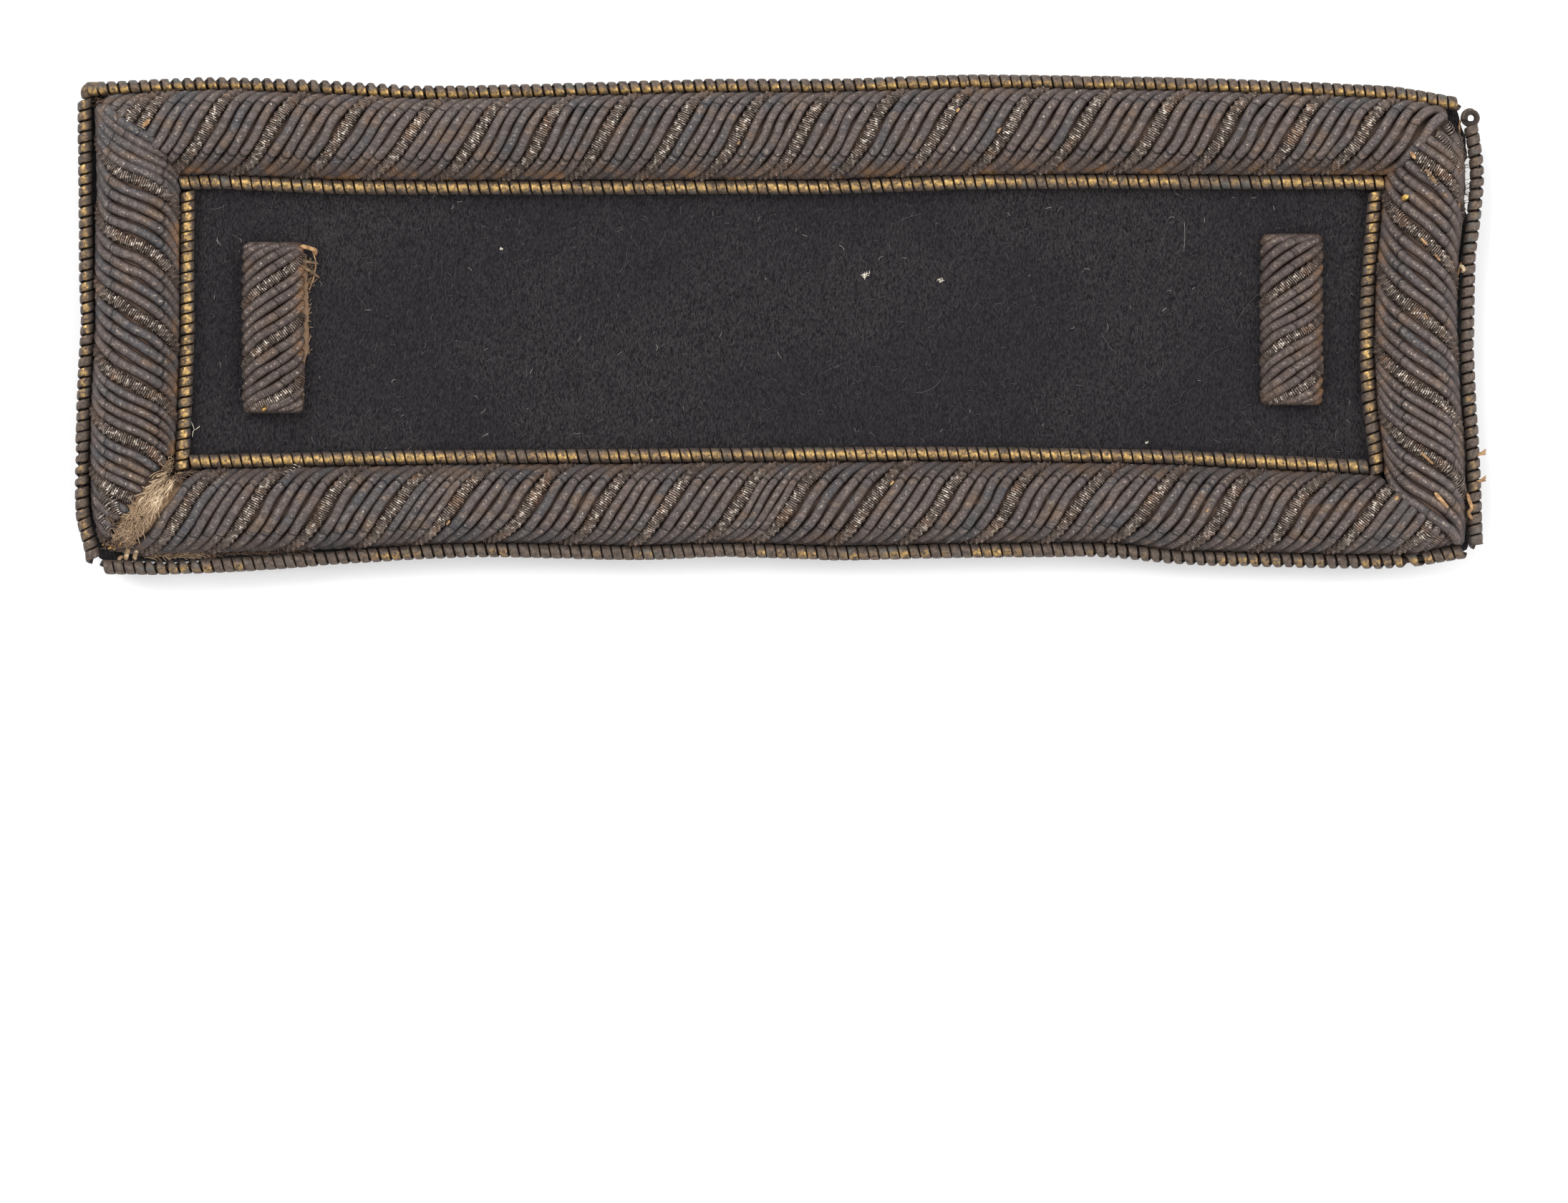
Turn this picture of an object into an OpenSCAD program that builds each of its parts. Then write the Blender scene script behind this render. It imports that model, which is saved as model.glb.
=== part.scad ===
// Shoulder board of an officer's coat. A wool field on a linen backing carries a raised border of
// gilt wire strands laid slantwise over cotton padding. A close wire coil runs along each edge of
// the border, and a small rank bar stands at each end of the field. It lies flat, back down.

/* [Board] */
// Length over the outer coils
board_length = 103.2; // [80:0.1:130]
// Width over the outer coils
board_width = 36.7; // [32:0.1:50]
// Largest set-in of an outer coil from a straight edge
edge_sway = 1.6; // [0:0.1:2.4]

/* [Cloth] */
// Thickness of the linen backing
backing_t = 1; // [1:0.1:3]
// Thickness of the wool cloth
cloth_t = 1.2; // [1:0.1:3]
// Wool left showing outside the foot of the border
cloth_margin = 0.35; // [0.1:0.05:0.5]
// How far the backing stays inside the edge of the wool
backing_inset = 0.4; // [0.2:0.1:1.5]
// Length cut off each corner of the cloth
corner_cut = 1; // [0.4:0.1:2]

/* [Border] */
// Width of the border
border_width = 6; // [4:0.1:8]
// Height of the border above the wool
border_height = 3; // [2:0.1:4]
// Steepness of the border at its feet, in degrees
foot_angle = 75; // [60:1:85]
// Thickness of the wire strands over the padding
bullion_t = 0.75; // [0.5:0.05:1]
// Length of border between two rough strands
group_pitch = 5; // [4:0.1:8]
// Length of border that a strand runs along as it crosses
strand_run = 6.6; // [0:0.1:8]
// Depth of the groove at each rough strand
groove_depth = 0.3; // [0:0.05:0.4]
// Width of the three closed mitres
mitre_gap = 0.2; // [0.1:0.05:0.6]
// Width of the worn mitre that shows the padding
bare_mitre = 2.3; // [0.4:0.1:4]

/* [Coils] */
// Diameter of each wire coil
coil_d = 1.05; // [0.8:0.05:1.6]
// Gap between a coil and the foot of the border
coil_gap = 0.08; // [0.05:0.01:0.2]

/* [Rank bars] */
// Width of a rank bar
bar_width = 4.7; // [3:0.1:6]
// Length of a rank bar
bar_length = 12.8; // [8:0.1:16]
// Height of a rank bar above the wool
bar_height = 1.8; // [1.4:0.1:2.6]
// Clear field between a bar and the inner coil
bar_setback = 3; // [1:0.1:8]
// Rise of the strands across a bar, in degrees
bar_slope = 40; // [0:1:50]
// Length of bar taken by one strand
bar_pitch = 0.9; // [0.7:0.05:1.5]
// Depth of the groove between two strands of a bar
bar_groove = 0.18; // [0:0.02:0.3]
// Radius of a bar's corners
bar_corner = 0.6; // [0.2:0.1:1]
// Length over which the ends of a bar slope down
bar_end = 1; // [0.4:0.1:2]
// Shift of both bars along the board, to the right
bars_shift = 0.4; // [-2:0.1:2]
// Shift of the left bar across the board
bar_shift_left = -0.2; // [-2:0.1:2]
// Shift of the right bar across the board
bar_shift_right = 0.4; // [-2:0.1:2]
// Thickness of the felt pad under the left bar
bar_pad_t = 0.5; // [0.3:0.1:0.8]
// How far the felt pad shows beside the left bar
bar_pad_show = 0.4; // [0.1:0.05:1]

/* [Fits] */
// Gap between a piece and what it lies on
seat_gap = 0.05; // [0.02:0.01:0.1]
// Gap between the strands and the padding inside them
padding_gap = 0.15; // [0.1:0.01:0.3]

/* [Hidden] */

// Heights of the layers
cloth_z = backing_t + seat_gap;
cloth_top = cloth_z + cloth_t;
work_z = cloth_top + seat_gap;

// The four sides run along the middle line of a straight outer coil. The top and bottom ones are
// read from left to right, the left and right ones from top to bottom.
TOP = 0;
RIGHT = 1;
BOTTOM = 2;
LEFT = 3;
half_x = (board_length - coil_d) / 2;
half_y = (board_width - coil_d) / 2;
run_of = [2 * half_x, 2 * half_y, 2 * half_x, 2 * half_y];

// For each side: the way its strands lean, the mitre at its start, the mitre at its end, and the
// shares of the side at which its outer coil starts and ends
LEAN = 0;
START = 1;
END = 2;
COIL_FROM = 3;
COIL_TO = 4;
SIDES = [
    [1, mitre_gap, mitre_gap, 0.007, 0.984],
    [1, mitre_gap, mitre_gap, 0.08, 0.95],
    [-1, bare_mitre, mitre_gap, 0.016, 0.988],
    [-1, mitre_gap, bare_mitre, 0.04, 0.98]
];

// How the worn edges wander. AT is the share of the side, SET the outer coil's set-in as a share of
// edge_sway, FOOT the bare cloth between coil and border as a share of coil_d, and WIDE the width
// of the border as a share of border_width.
AT = 0;
SET = 1;
FOOT = 2;
WIDE = 3;
TOP_EDGE = [
    [0.000, 0.39, 0.00, 0.97], [0.095, 0.09, 0.00, 1.00], [0.180, 0.29, 0.00, 1.01],
    [0.245, 0.55, 0.00, 0.95], [0.310, 0.47, 0.00, 0.97], [0.455, 0.19, 0.00, 1.04],
    [0.530, 0.23, 0.00, 1.03], [0.635, 0.00, 0.00, 1.03], [0.730, 0.07, 0.00, 1.00],
    [0.815, 0.19, 0.00, 0.98], [0.916, 0.45, 0.00, 0.91], [0.955, 0.60, 0.00, 0.90],
    [0.985, 1.14, 0.00, 0.85]
];
RIGHT_EDGE = [
    [0.000, 0.90, 0.20, 0.90], [0.080, 0.35, 0.30, 0.93], [0.157, 0.06, 0.32, 0.96],
    [0.200, 0.00, 0.35, 0.97], [0.290, 0.19, 0.25, 0.98], [0.350, 0.38, 0.20, 0.97],
    [0.450, 0.45, 0.20, 0.99], [0.560, 0.48, 0.08, 1.01], [0.656, 0.38, 0.05, 1.01],
    [0.774, 0.19, 0.08, 0.97], [0.920, 0.09, 0.20, 0.95], [1.000, 0.05, 0.50, 0.94]
];
BOTTOM_EDGE = [
    [0.000, 0.10, 0.45, 1.00], [0.050, 0.00, 0.50, 1.00], [0.120, 0.19, 0.42, 0.99],
    [0.180, 0.48, 0.15, 0.98], [0.245, 0.76, 0.00, 0.95], [0.290, 0.86, 0.00, 0.93],
    [0.400, 0.68, 0.00, 0.99], [0.460, 0.87, 0.00, 0.95], [0.545, 0.66, 0.08, 1.00],
    [0.610, 0.79, 0.00, 0.99], [0.740, 0.87, 0.00, 0.94], [0.780, 0.48, 0.00, 1.03],
    [0.920, 0.29, 0.00, 0.96], [0.958, 0.32, 0.00, 0.95], [0.985, 0.84, 0.00, 0.93]
];
LEFT_EDGE = [
    [0.000, 0.05, 0.20, 0.96], [0.055, 0.12, 0.22, 0.97], [0.200, 0.14, 0.35, 0.99],
    [0.400, 0.19, 0.06, 1.02], [0.500, 0.25, 0.00, 1.02], [0.660, 0.06, 0.00, 1.04],
    [0.800, 0.00, 0.03, 1.01], [0.890, 0.00, 0.25, 1.00], [0.972, 0.51, 0.40, 0.96]
];
EDGES = [TOP_EDGE, RIGHT_EDGE, BOTTOM_EDGE, LEFT_EDGE];

// Share of each side that its corners take up, as far as the inner edge of the border
corner_share = [for (length = run_of) (coil_d + coil_gap + border_width) / length];

// Relief of one group of strands: share of the group, share of groove_depth
GROUP = [[0, 1], [0.2, 0.2], [0.5, 0], [0.8, 0.2]];

// Facets: steps over the top of the border, under it, round a coil, over a bar and round its corners
OVER_STEPS = 8;
UNDER_STEPS = 3;
COIL_SIDES = 8;
BAR_STEPS = 6;
CORNER_FACETS = 16;

// A table row this close to the end of a run, as a share of the side, is left out of it
least_share = 0.005;

// Share of its height by which a bar slopes down at its ends
bar_end_drop = 0.35;

// Each bar: which way it lies from the middle, the side it stands next to, its shift
BAR_WAY = 0;
BAR_SIDE = 1;
BAR_SHIFT = 2;
BARS = [[-1, LEFT, bar_shift_left], [1, RIGHT, bar_shift_right]];

function mix(a, b, share) = a + (b - a) * share;

// Value of one column of an edge table at a share of the side
function edge(table, column, share, row = 0) =
    row >= len(table) - 2 || share <= table[row + 1][AT]
        ? mix(table[row][column], table[row + 1][column],
              max(0, min(1, (share - table[row][AT]) / (table[row + 1][AT] - table[row][AT]))))
        : edge(table, column, share, row + 1);

// Distances inward from the middle line of a straight outer coil
function coil_line(side, share) = edge_sway * edge(EDGES[side], SET, share);
function outer_foot(side, share) =
    coil_line(side, share) + coil_d / 2 + coil_gap + coil_d * edge(EDGES[side], FOOT, share);
function width_at(side, share) = border_width * edge(EDGES[side], WIDE, share);
function inner_foot(side, share) = outer_foot(side, share) + width_at(side, share);
function inner_line(side, share) = inner_foot(side, share) + coil_gap + coil_d / 2;
function cloth_line(side, share) = outer_foot(side, share) - cloth_margin;

// Shares of a side from first to last, with every table row between
function stations(side, first, last) = concat(
    [first],
    [for (row = EDGES[side]) if (row[AT] > first + least_share && row[AT] < last - least_share) row[AT]],
    [last]
);

// A point of the board from its distance along a side and inward from it
function placed(side, along, inward) =
    side == TOP ? [along - half_x, half_y - inward]
    : side == BOTTOM ? [along - half_x, inward - half_y]
    : side == LEFT ? [inward - half_x, half_y - along]
    : [half_x - inward, half_y - along];

// Puts a shape drawn as [along, inward, height] on its side
module on_side(side) {
    if (side == TOP) translate([-half_x, half_y, 0]) mirror([0, 1, 0]) children();
    if (side == BOTTOM) translate([-half_x, -half_y, 0]) children();
    if (side == LEFT) translate([-half_x, half_y, 0]) rotate(-90) children();
    if (side == RIGHT) translate([half_x, half_y, 0]) mirror([1, 0, 0]) rotate(-90) children();
}

// Closed skin over a list of rings of equally many points. Seen from the last ring, each runs
// clockwise.
module skin(rings) {
    size = len(rings[0]);
    last = len(rings) - 1;
    points = [for (ring = rings) each ring];
    sides = [
        for (i = [0 : last - 1], j = [0 : size - 1])
            let (a = i * size + j, b = i * size + (j + 1) % size)
                each [[a, b, a + size], [b, b + size, a + size]]
    ];
    near = [for (j = [size - 1 : -1 : 0]) j];
    far = [for (j = [0 : size - 1]) last * size + j];
    polyhedron(points, concat(sides, [near, far]), convexity = 8);
}

// Points over a crowned section, from the outer foot to the inner one. Each is
// [share across, share of the height, share of the strand's run].
function crown(steps) = [
    for (i = [0 : steps])
        let (turn = mix(-foot_angle, foot_angle, i / steps))
            [(1 + sin(turn) / sin(foot_angle)) / 2,
             (cos(turn) - cos(foot_angle)) / (1 - cos(foot_angle)),
             0.5 - i / steps]
];

// One slanted section of the border: over the strands, then back under them
function border_ring(side, along, relief) =
    let (
        lean = SIDES[side][LEAN] * strand_run,
        length = run_of[side],
        over = [for (p = crown(OVER_STEPS)) let (at = along + lean * p[2], share = at / length)
            [at,
             outer_foot(side, share) + width_at(side, share) * p[0],
             work_z + (border_height - seat_gap - relief) * p[1]]],
        under = [for (p = crown(UNDER_STEPS)) let (at = along + lean * p[2], share = at / length)
            [at,
             outer_foot(side, share) + bullion_t + (width_at(side, share) - 2 * bullion_t) * p[0],
             work_z + (border_height - bullion_t - seat_gap) * p[1]]]
    )
    concat(over, [for (i = [UNDER_STEPS : -1 : 0]) under[i]]);

// One section of the padding, clear of the strands over it. A mitre of 1 or -1 slants it along the
// mitre at the start or the end of the side, and with 0 it is square at the given share.
function padding_ring(side, mitre, share = 0) =
    let (
        length = run_of[side],
        clear = bullion_t + padding_gap,
        height = border_height - clear - 2 * seat_gap
    )
    [for (p = crown(UNDER_STEPS))
        let (
            from_end = (coil_d + border_width * p[0]) / length,
            at = mitre == 0 ? share : mitre > 0 ? from_end : 1 - from_end,
            inward = outer_foot(side, at) + clear + (width_at(side, at) - 2 * clear) * p[0],
            slanted = mitre_gap / sqrt(2) + inward,
            along = mitre == 0 ? share * length : mitre > 0 ? slanted : length - slanted
        )
        [along, inward, work_z + height * p[1]]];

// Mitred room of a side, with a named width of mitre at each end
module mitred(side, start, end) {
    depth = 2 * border_width;
    length = run_of[side];
    first = start / sqrt(2);
    last = length - end / sqrt(2);
    intersection() {
        linear_extrude(work_z + border_height)
            polygon([[first - coil_d, -coil_d], [last + coil_d, -coil_d],
                     [last - depth, depth], [first + depth, depth]]);
        children();
    }
}

// Raised border of slanting strands along one side
module border(side) {
    groups = ceil(run_of[side] / group_pitch);
    spare = ceil(strand_run / group_pitch / 2);
    color([0.36, 0.32, 0.3])
        on_side(side)
            mitred(side, SIDES[side][START], SIDES[side][END])
                skin([for (i = [-spare : groups + spare], g = GROUP)
                    border_ring(side, (i + g[0]) * group_pitch, g[1] * groove_depth)]);
}

// Cotton padding under the border of one side. It reaches into both mitres.
module padding(side) {
    corner = corner_share[side];
    color([0.68, 0.57, 0.44])
        on_side(side)
            skin(concat(
                [padding_ring(side, 1)],
                [for (share = stations(side, corner, 1 - corner)) padding_ring(side, 0, share)],
                [padding_ring(side, -1)]
            ));
}

// Plain tube along a coil's middle line, given as [along, inward] points
module coil_tube(line) {
    last = len(line) - 1;
    color([0.55, 0.44, 0.28])
        skin([
            for (i = [0 : last])
                let (
                    way = line[min(i + 1, last)] - line[max(i - 1, 0)],
                    across = [-way[1], way[0]] / norm(way)
                )
                [for (j = [0 : COIL_SIDES - 1])
                    let (turn = 180 - 360 * j / COIL_SIDES, r = coil_d / 2)
                        [line[i][0] + across[0] * r * cos(turn),
                         line[i][1] + across[1] * r * cos(turn),
                         work_z + r + r * sin(turn)]]
        ]);
}

// Wire coil outside the border
module outer_coil(side) {
    on_side(side)
        coil_tube([for (share = stations(side, SIDES[side][COIL_FROM], SIDES[side][COIL_TO]))
            [share * run_of[side], coil_line(side, share)]]);
}

// Wire coil inside the border. The top one runs from border to border, the left and right ones from
// it to the bottom border, and the bottom one between those two.
module inner_coil(side) {
    long = side == TOP || side == BOTTOM;
    before = long ? LEFT : TOP;
    after = long ? RIGHT : BOTTOM;
    near_end = side == TOP || side == LEFT ? corner_share[before] : 1 - corner_share[before];
    far_end = side == TOP || side == LEFT ? corner_share[after] : 1 - corner_share[after];
    past_coil = coil_d + 2 * coil_gap;
    near = inner_foot(before, near_end) + coil_gap + (side == TOP ? 0 : past_coil);
    far = inner_foot(after, far_end) + coil_gap + (side == BOTTOM ? past_coil : 0);
    first = near / run_of[side];
    last = 1 - far / run_of[side];
    on_side(side)
        coil_tube([for (share = stations(side, first, last))
            [share * run_of[side], inner_line(side, share)]]);
}

// Outline of the cloth, drawn in by a named inset
function cloth_side(side, before, after, ends, inset) =
    let (
        length = run_of[side],
        first = (cloth_line(before, ends[0]) + inset + corner_cut) / length,
        last = 1 - (cloth_line(after, ends[1]) + inset + corner_cut) / length
    )
    [for (share = stations(side, first, last))
        placed(side, share * length, cloth_line(side, share) + inset)];

function backwards(list) = [for (i = [len(list) - 1 : -1 : 0]) list[i]];

function cloth_outline(inset) = concat(
    cloth_side(TOP, LEFT, RIGHT, [0, 0], inset),
    cloth_side(RIGHT, TOP, BOTTOM, [1, 1], inset),
    backwards(cloth_side(BOTTOM, LEFT, RIGHT, [1, 1], inset)),
    backwards(cloth_side(LEFT, TOP, BOTTOM, [0, 0], inset))
);

// Linen backing, the face that is sewn to the coat
module backing_cloth() {
    color([0.72, 0.62, 0.48])
        linear_extrude(backing_t) polygon(cloth_outline(backing_inset));
}

// Dark wool cloth that carries all the needlework
module field_cloth() {
    color([0.13, 0.12, 0.14])
        translate([0, 0, cloth_z]) linear_extrude(cloth_t) polygon(cloth_outline(0));
}

// Middle of a rank bar
function bar_middle(bar) =
    let (inward = inner_line(BARS[bar][BAR_SIDE], 0.5) + coil_d / 2 + bar_setback + bar_width / 2)
    [BARS[bar][BAR_WAY] * (half_x - inward) + bars_shift, BARS[bar][BAR_SHIFT], 0];

module bar_outline(grow = 0) {
    offset(bar_corner, $fn = CORNER_FACETS)
        square([bar_width + 2 * grow - 2 * bar_corner, bar_length - 2 * bar_corner], center = true);
}

// One slanted section of a rank bar, read from its right foot to its left one
function bar_ring(along, relief, base, height) =
    let (
        rise = bar_width * tan(bar_slope),
        past = max(0, min(1, (abs(along) - bar_length / 2 + bar_end) / bar_end)),
        top = (height - relief) * (1 - bar_end_drop * past * past)
    )
    concat(
        [for (p = crown(BAR_STEPS)) [(0.5 - p[0]) * bar_width, along + rise * p[2], base + top * p[1]]],
        [[-bar_width / 2, along - rise / 2, base - seat_gap],
         [bar_width / 2, along + rise / 2, base - seat_gap]]
    );

// Rank bar of slanting strands. The lift is the room taken by a pad under it.
module rank_bar(bar, lift) {
    base = work_z + lift;
    steps = ceil((bar_length + bar_width * tan(bar_slope)) / bar_pitch) + 1;
    color([0.37, 0.33, 0.3])
        translate(bar_middle(bar))
            intersection() {
                translate([0, 0, base]) linear_extrude(bar_height) bar_outline();
                skin([for (i = [-steps : steps])
                    bar_ring(i * bar_pitch / 2, (i + steps) % 2 * bar_groove, base,
                             bar_height - lift - seat_gap)]);
            }
}

// Felt pad that shows beside the worn left bar
module bar_pad_left() {
    color([0.68, 0.57, 0.44])
        translate(bar_middle(0) + [bar_pad_show / 2, 0, work_z])
            linear_extrude(bar_pad_t) bar_outline(bar_pad_show / 2);
}

backing_cloth();
field_cloth();
padding(TOP);  // padding_top
padding(RIGHT);  // padding_right
padding(BOTTOM);  // padding_bottom
padding(LEFT);  // padding_left
border(TOP);  // border_top
border(RIGHT);  // border_right
border(BOTTOM);  // border_bottom
border(LEFT);  // border_left
outer_coil(TOP);  // outer_coil_top
outer_coil(RIGHT);  // outer_coil_right
outer_coil(BOTTOM);  // outer_coil_bottom
outer_coil(LEFT);  // outer_coil_left
inner_coil(TOP);  // inner_coil_top
inner_coil(RIGHT);  // inner_coil_right
inner_coil(BOTTOM);  // inner_coil_bottom
inner_coil(LEFT);  // inner_coil_left
rank_bar(0, bar_pad_t + seat_gap);  // rank_bar_left
rank_bar(1, 0);  // rank_bar_right
bar_pad_left();
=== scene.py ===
"""Looks of the shoulder board: wound wire coils, purl strands, wool, cotton padding and linen."""
import math

import bpy
import numpy as np
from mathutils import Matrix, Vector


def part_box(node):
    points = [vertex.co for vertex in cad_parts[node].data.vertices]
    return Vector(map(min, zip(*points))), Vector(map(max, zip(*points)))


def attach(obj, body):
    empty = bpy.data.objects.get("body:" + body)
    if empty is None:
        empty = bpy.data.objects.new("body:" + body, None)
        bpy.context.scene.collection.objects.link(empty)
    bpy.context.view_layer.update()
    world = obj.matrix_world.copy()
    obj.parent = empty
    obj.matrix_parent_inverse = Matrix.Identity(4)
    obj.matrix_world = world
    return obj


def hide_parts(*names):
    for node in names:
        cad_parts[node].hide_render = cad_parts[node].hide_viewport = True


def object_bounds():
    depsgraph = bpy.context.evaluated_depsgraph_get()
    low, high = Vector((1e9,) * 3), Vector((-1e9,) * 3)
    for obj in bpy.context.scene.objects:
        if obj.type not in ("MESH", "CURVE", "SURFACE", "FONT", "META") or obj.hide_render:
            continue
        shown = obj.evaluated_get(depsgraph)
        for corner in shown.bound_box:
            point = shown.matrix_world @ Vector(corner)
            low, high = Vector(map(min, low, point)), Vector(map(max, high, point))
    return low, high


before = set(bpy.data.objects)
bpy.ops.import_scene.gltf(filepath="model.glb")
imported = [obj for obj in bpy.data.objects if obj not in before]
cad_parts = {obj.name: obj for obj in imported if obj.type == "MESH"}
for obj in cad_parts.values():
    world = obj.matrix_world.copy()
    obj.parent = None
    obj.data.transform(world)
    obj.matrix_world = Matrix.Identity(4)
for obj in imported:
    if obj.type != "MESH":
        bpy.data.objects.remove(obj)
cad_low, cad_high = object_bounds()

# All sizes below are in millimetres
MM = 0.001


def size_of(node):
    """Lowest and highest corner of a CAD node, in millimetres."""
    low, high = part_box(node)
    return np.array(low) / MM, np.array(high) / MM


# Driving sizes, read from the frame
BOARD = (np.array(cad_high) - np.array(cad_low)) / MM
COIL_LOW, COIL_HIGH = size_of("outer_coil_top")
WORK_Z = float(COIL_LOW[2])
COIL_D = float(COIL_HIGH[2] - COIL_LOW[2])
BORDER_HEIGHT = float(cad_high[2]) / MM - WORK_Z
CLOTH_TOP = float(size_of("field_cloth")[1][2])
HALF_X = (BOARD[0] - COIL_D) / 2
HALF_Y = (BOARD[1] - COIL_D) / 2

# Sizes repeated from the part's source
EDGE_SWAY = 1.6
BORDER_WIDTH = 6.0
FOOT_ANGLE = math.radians(75)
STRAND_RUN = [6.6, 7.1, 6.6, 5.8]
COIL_GAP = 0.08
CLOTH_MARGIN = 0.35
BACKING_INSET = 0.4
CORNER_CUT = 1.0
BAR_SLOPE = math.radians(40)

# The four sides run along the middle line of a straight outer coil. The top and bottom ones are
# read from left to right, the left and right ones from top to bottom.
TOP, RIGHT, BOTTOM, LEFT = range(4)
SIDE_NAMES = ["top", "right", "bottom", "left"]
RUN_OF = [2 * HALF_X, 2 * HALF_Y, 2 * HALF_X, 2 * HALF_Y]
START_OF = np.array([(-HALF_X, HALF_Y), (HALF_X, HALF_Y), (-HALF_X, -HALF_Y), (-HALF_X, HALF_Y)])
ALONG_WAY = np.array([(1, 0), (0, -1), (1, 0), (0, -1)], float)
INWARD_WAY = np.array([(0, -1), (-1, 0), (0, 1), (1, 0)], float)
LEAN = [1, 1, -1, -1]

# How the worn edges wander. AT is the share of the side, SET the outer coil's set-in as a share of
# EDGE_SWAY, FOOT the bare cloth between coil and border as a share of COIL_D, and WIDE the width of
# the border as a share of BORDER_WIDTH.
AT, SET, FOOT, WIDE = range(4)
EDGES = [
    np.array([
        [0.000, 0.39, 0.00, 0.97], [0.095, 0.09, 0.00, 1.00], [0.180, 0.29, 0.00, 1.01],
        [0.245, 0.55, 0.00, 0.95], [0.310, 0.47, 0.00, 0.97], [0.455, 0.19, 0.00, 1.04],
        [0.530, 0.23, 0.00, 1.03], [0.635, 0.00, 0.00, 1.03], [0.730, 0.07, 0.00, 1.00],
        [0.815, 0.19, 0.00, 0.98], [0.916, 0.45, 0.00, 0.91], [0.955, 0.60, 0.00, 0.90],
        [0.985, 1.14, 0.00, 0.85],
    ]),
    np.array([
        [0.000, 0.90, 0.20, 0.90], [0.080, 0.35, 0.30, 0.93], [0.157, 0.06, 0.32, 0.96],
        [0.200, 0.00, 0.35, 0.97], [0.290, 0.19, 0.25, 0.98], [0.350, 0.38, 0.20, 0.97],
        [0.450, 0.45, 0.20, 0.99], [0.560, 0.48, 0.08, 1.01], [0.656, 0.38, 0.05, 1.01],
        [0.774, 0.19, 0.08, 0.97], [0.920, 0.09, 0.20, 0.95], [1.000, 0.05, 0.50, 0.94],
    ]),
    np.array([
        [0.000, 0.10, 0.45, 1.00], [0.050, 0.00, 0.50, 1.00], [0.120, 0.19, 0.42, 0.99],
        [0.180, 0.48, 0.15, 0.98], [0.245, 0.76, 0.00, 0.95], [0.290, 0.86, 0.00, 0.93],
        [0.400, 0.68, 0.00, 0.99], [0.460, 0.87, 0.00, 0.95], [0.545, 0.66, 0.08, 1.00],
        [0.610, 0.79, 0.00, 0.99], [0.740, 0.87, 0.00, 0.94], [0.780, 0.48, 0.00, 1.03],
        [0.920, 0.29, 0.00, 0.96], [0.958, 0.32, 0.00, 0.95], [0.985, 0.84, 0.00, 0.93],
    ]),
    np.array([
        [0.000, 0.05, 0.20, 0.96], [0.055, 0.12, 0.22, 0.97], [0.200, 0.14, 0.35, 0.99],
        [0.400, 0.19, 0.06, 1.02], [0.500, 0.25, 0.00, 1.02], [0.660, 0.06, 0.00, 1.04],
        [0.800, 0.00, 0.03, 1.01], [0.890, 0.00, 0.25, 1.00], [0.972, 0.51, 0.40, 0.96],
    ]),
]

# Places along each side where a rough strand crosses the crown of the border
ROUGH_AT = [
    [9.1, 13.8, 18.9, 24.0, 29.0, 33.7, 38.2, 43.3, 48.0, 52.6, 57.5, 62.7, 67.8, 73.0, 78.4, 83.5,
     88.7, 93.5],
    [6.0, 11.6, 17.1, 22.6, 27.3],
    [7.5, 12.4, 17.9, 23.2, 27.4, 32.8, 38.2, 42.9, 48.1, 52.0, 57.7, 62.8, 67.9, 73.1, 78.1, 83.5,
     88.5, 94.0],
    [7.2, 12.1, 17.1, 22.2, 26.4, 30.7],
]
GROUP_PITCH = 5.0
SMOOTH_SHARES = [0.215, 0.405, 0.595, 0.785]
# Rough strands that take a smooth one's place near a corner
EXTRA_ROUGH = [[2.95], [], [], []]
# Smooth strands at the corners where a side's strands run on whole along the mitre
WHOLE_STRANDS = [
    [94.7, 95.75, 96.8, 97.95], [28.4, 29.35, 30.35, 31.5], [6.5], [3.5, 4.2, 4.95, 5.7, 6.45],
]


# Geometry of the board

def edge(side, column, share):
    """Value of one column of an edge table at shares of the side."""
    return np.interp(share, EDGES[side][:, AT], EDGES[side][:, column])


def coil_line(side, share):
    """Distance inward to the middle of the outer coil, with the table's corners smoothed."""
    steps = np.linspace(-0.03, 0.03, 7)
    weights = np.array([1, 2, 3, 4, 3, 2, 1]) / 16
    return EDGE_SWAY * sum(w * edge(side, SET, np.asarray(share) + s) for w, s in zip(weights, steps))


def outer_foot(side, share):
    """Distance inward to the outer feet of the border."""
    return EDGE_SWAY * edge(side, SET, share) + COIL_D / 2 + COIL_GAP + COIL_D * edge(side, FOOT, share)


def width_at(side, share):
    """Width of the border."""
    return BORDER_WIDTH * edge(side, WIDE, share)


def inner_line(side, share):
    """Distance inward to the middle of the inner coil."""
    return outer_foot(side, share) + width_at(side, share) + COIL_GAP + COIL_D / 2


def on_board(side, along, inward, height):
    """Points in board coordinates from distances along a side and inward from it."""
    flat = START_OF[side] + np.multiply.outer(along, ALONG_WAY[side])
    flat = flat + np.multiply.outer(inward, INWARD_WAY[side])
    return np.column_stack([flat, np.broadcast_to(height, len(flat))])


def surface_at(x, y):
    """Height of the work at places on the board, over its padding but without its strands' relief."""
    spots = np.column_stack([np.ravel(x), np.ravel(y)])
    nearest = np.full(len(spots), np.inf)
    height = np.full(len(spots), CLOTH_TOP)
    for side in range(4):
        offset = spots - START_OF[side]
        inward = offset @ INWARD_WAY[side]
        share = np.clip(offset @ ALONG_WAY[side] / RUN_OF[side], 0, 1)
        across = (inward - outer_foot(side, share)) / width_at(side, share)
        turn = np.arcsin(np.clip(2 * across - 1, -1, 1) * math.sin(FOOT_ANGLE))
        domed = WORK_Z + BORDER_HEIGHT * rise_at(turn)
        here = np.where((across > 0) & (across < 1), domed, CLOTH_TOP)
        height = np.where(inward < nearest, here, height)
        nearest = np.minimum(nearest, inward)
    return height


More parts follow.
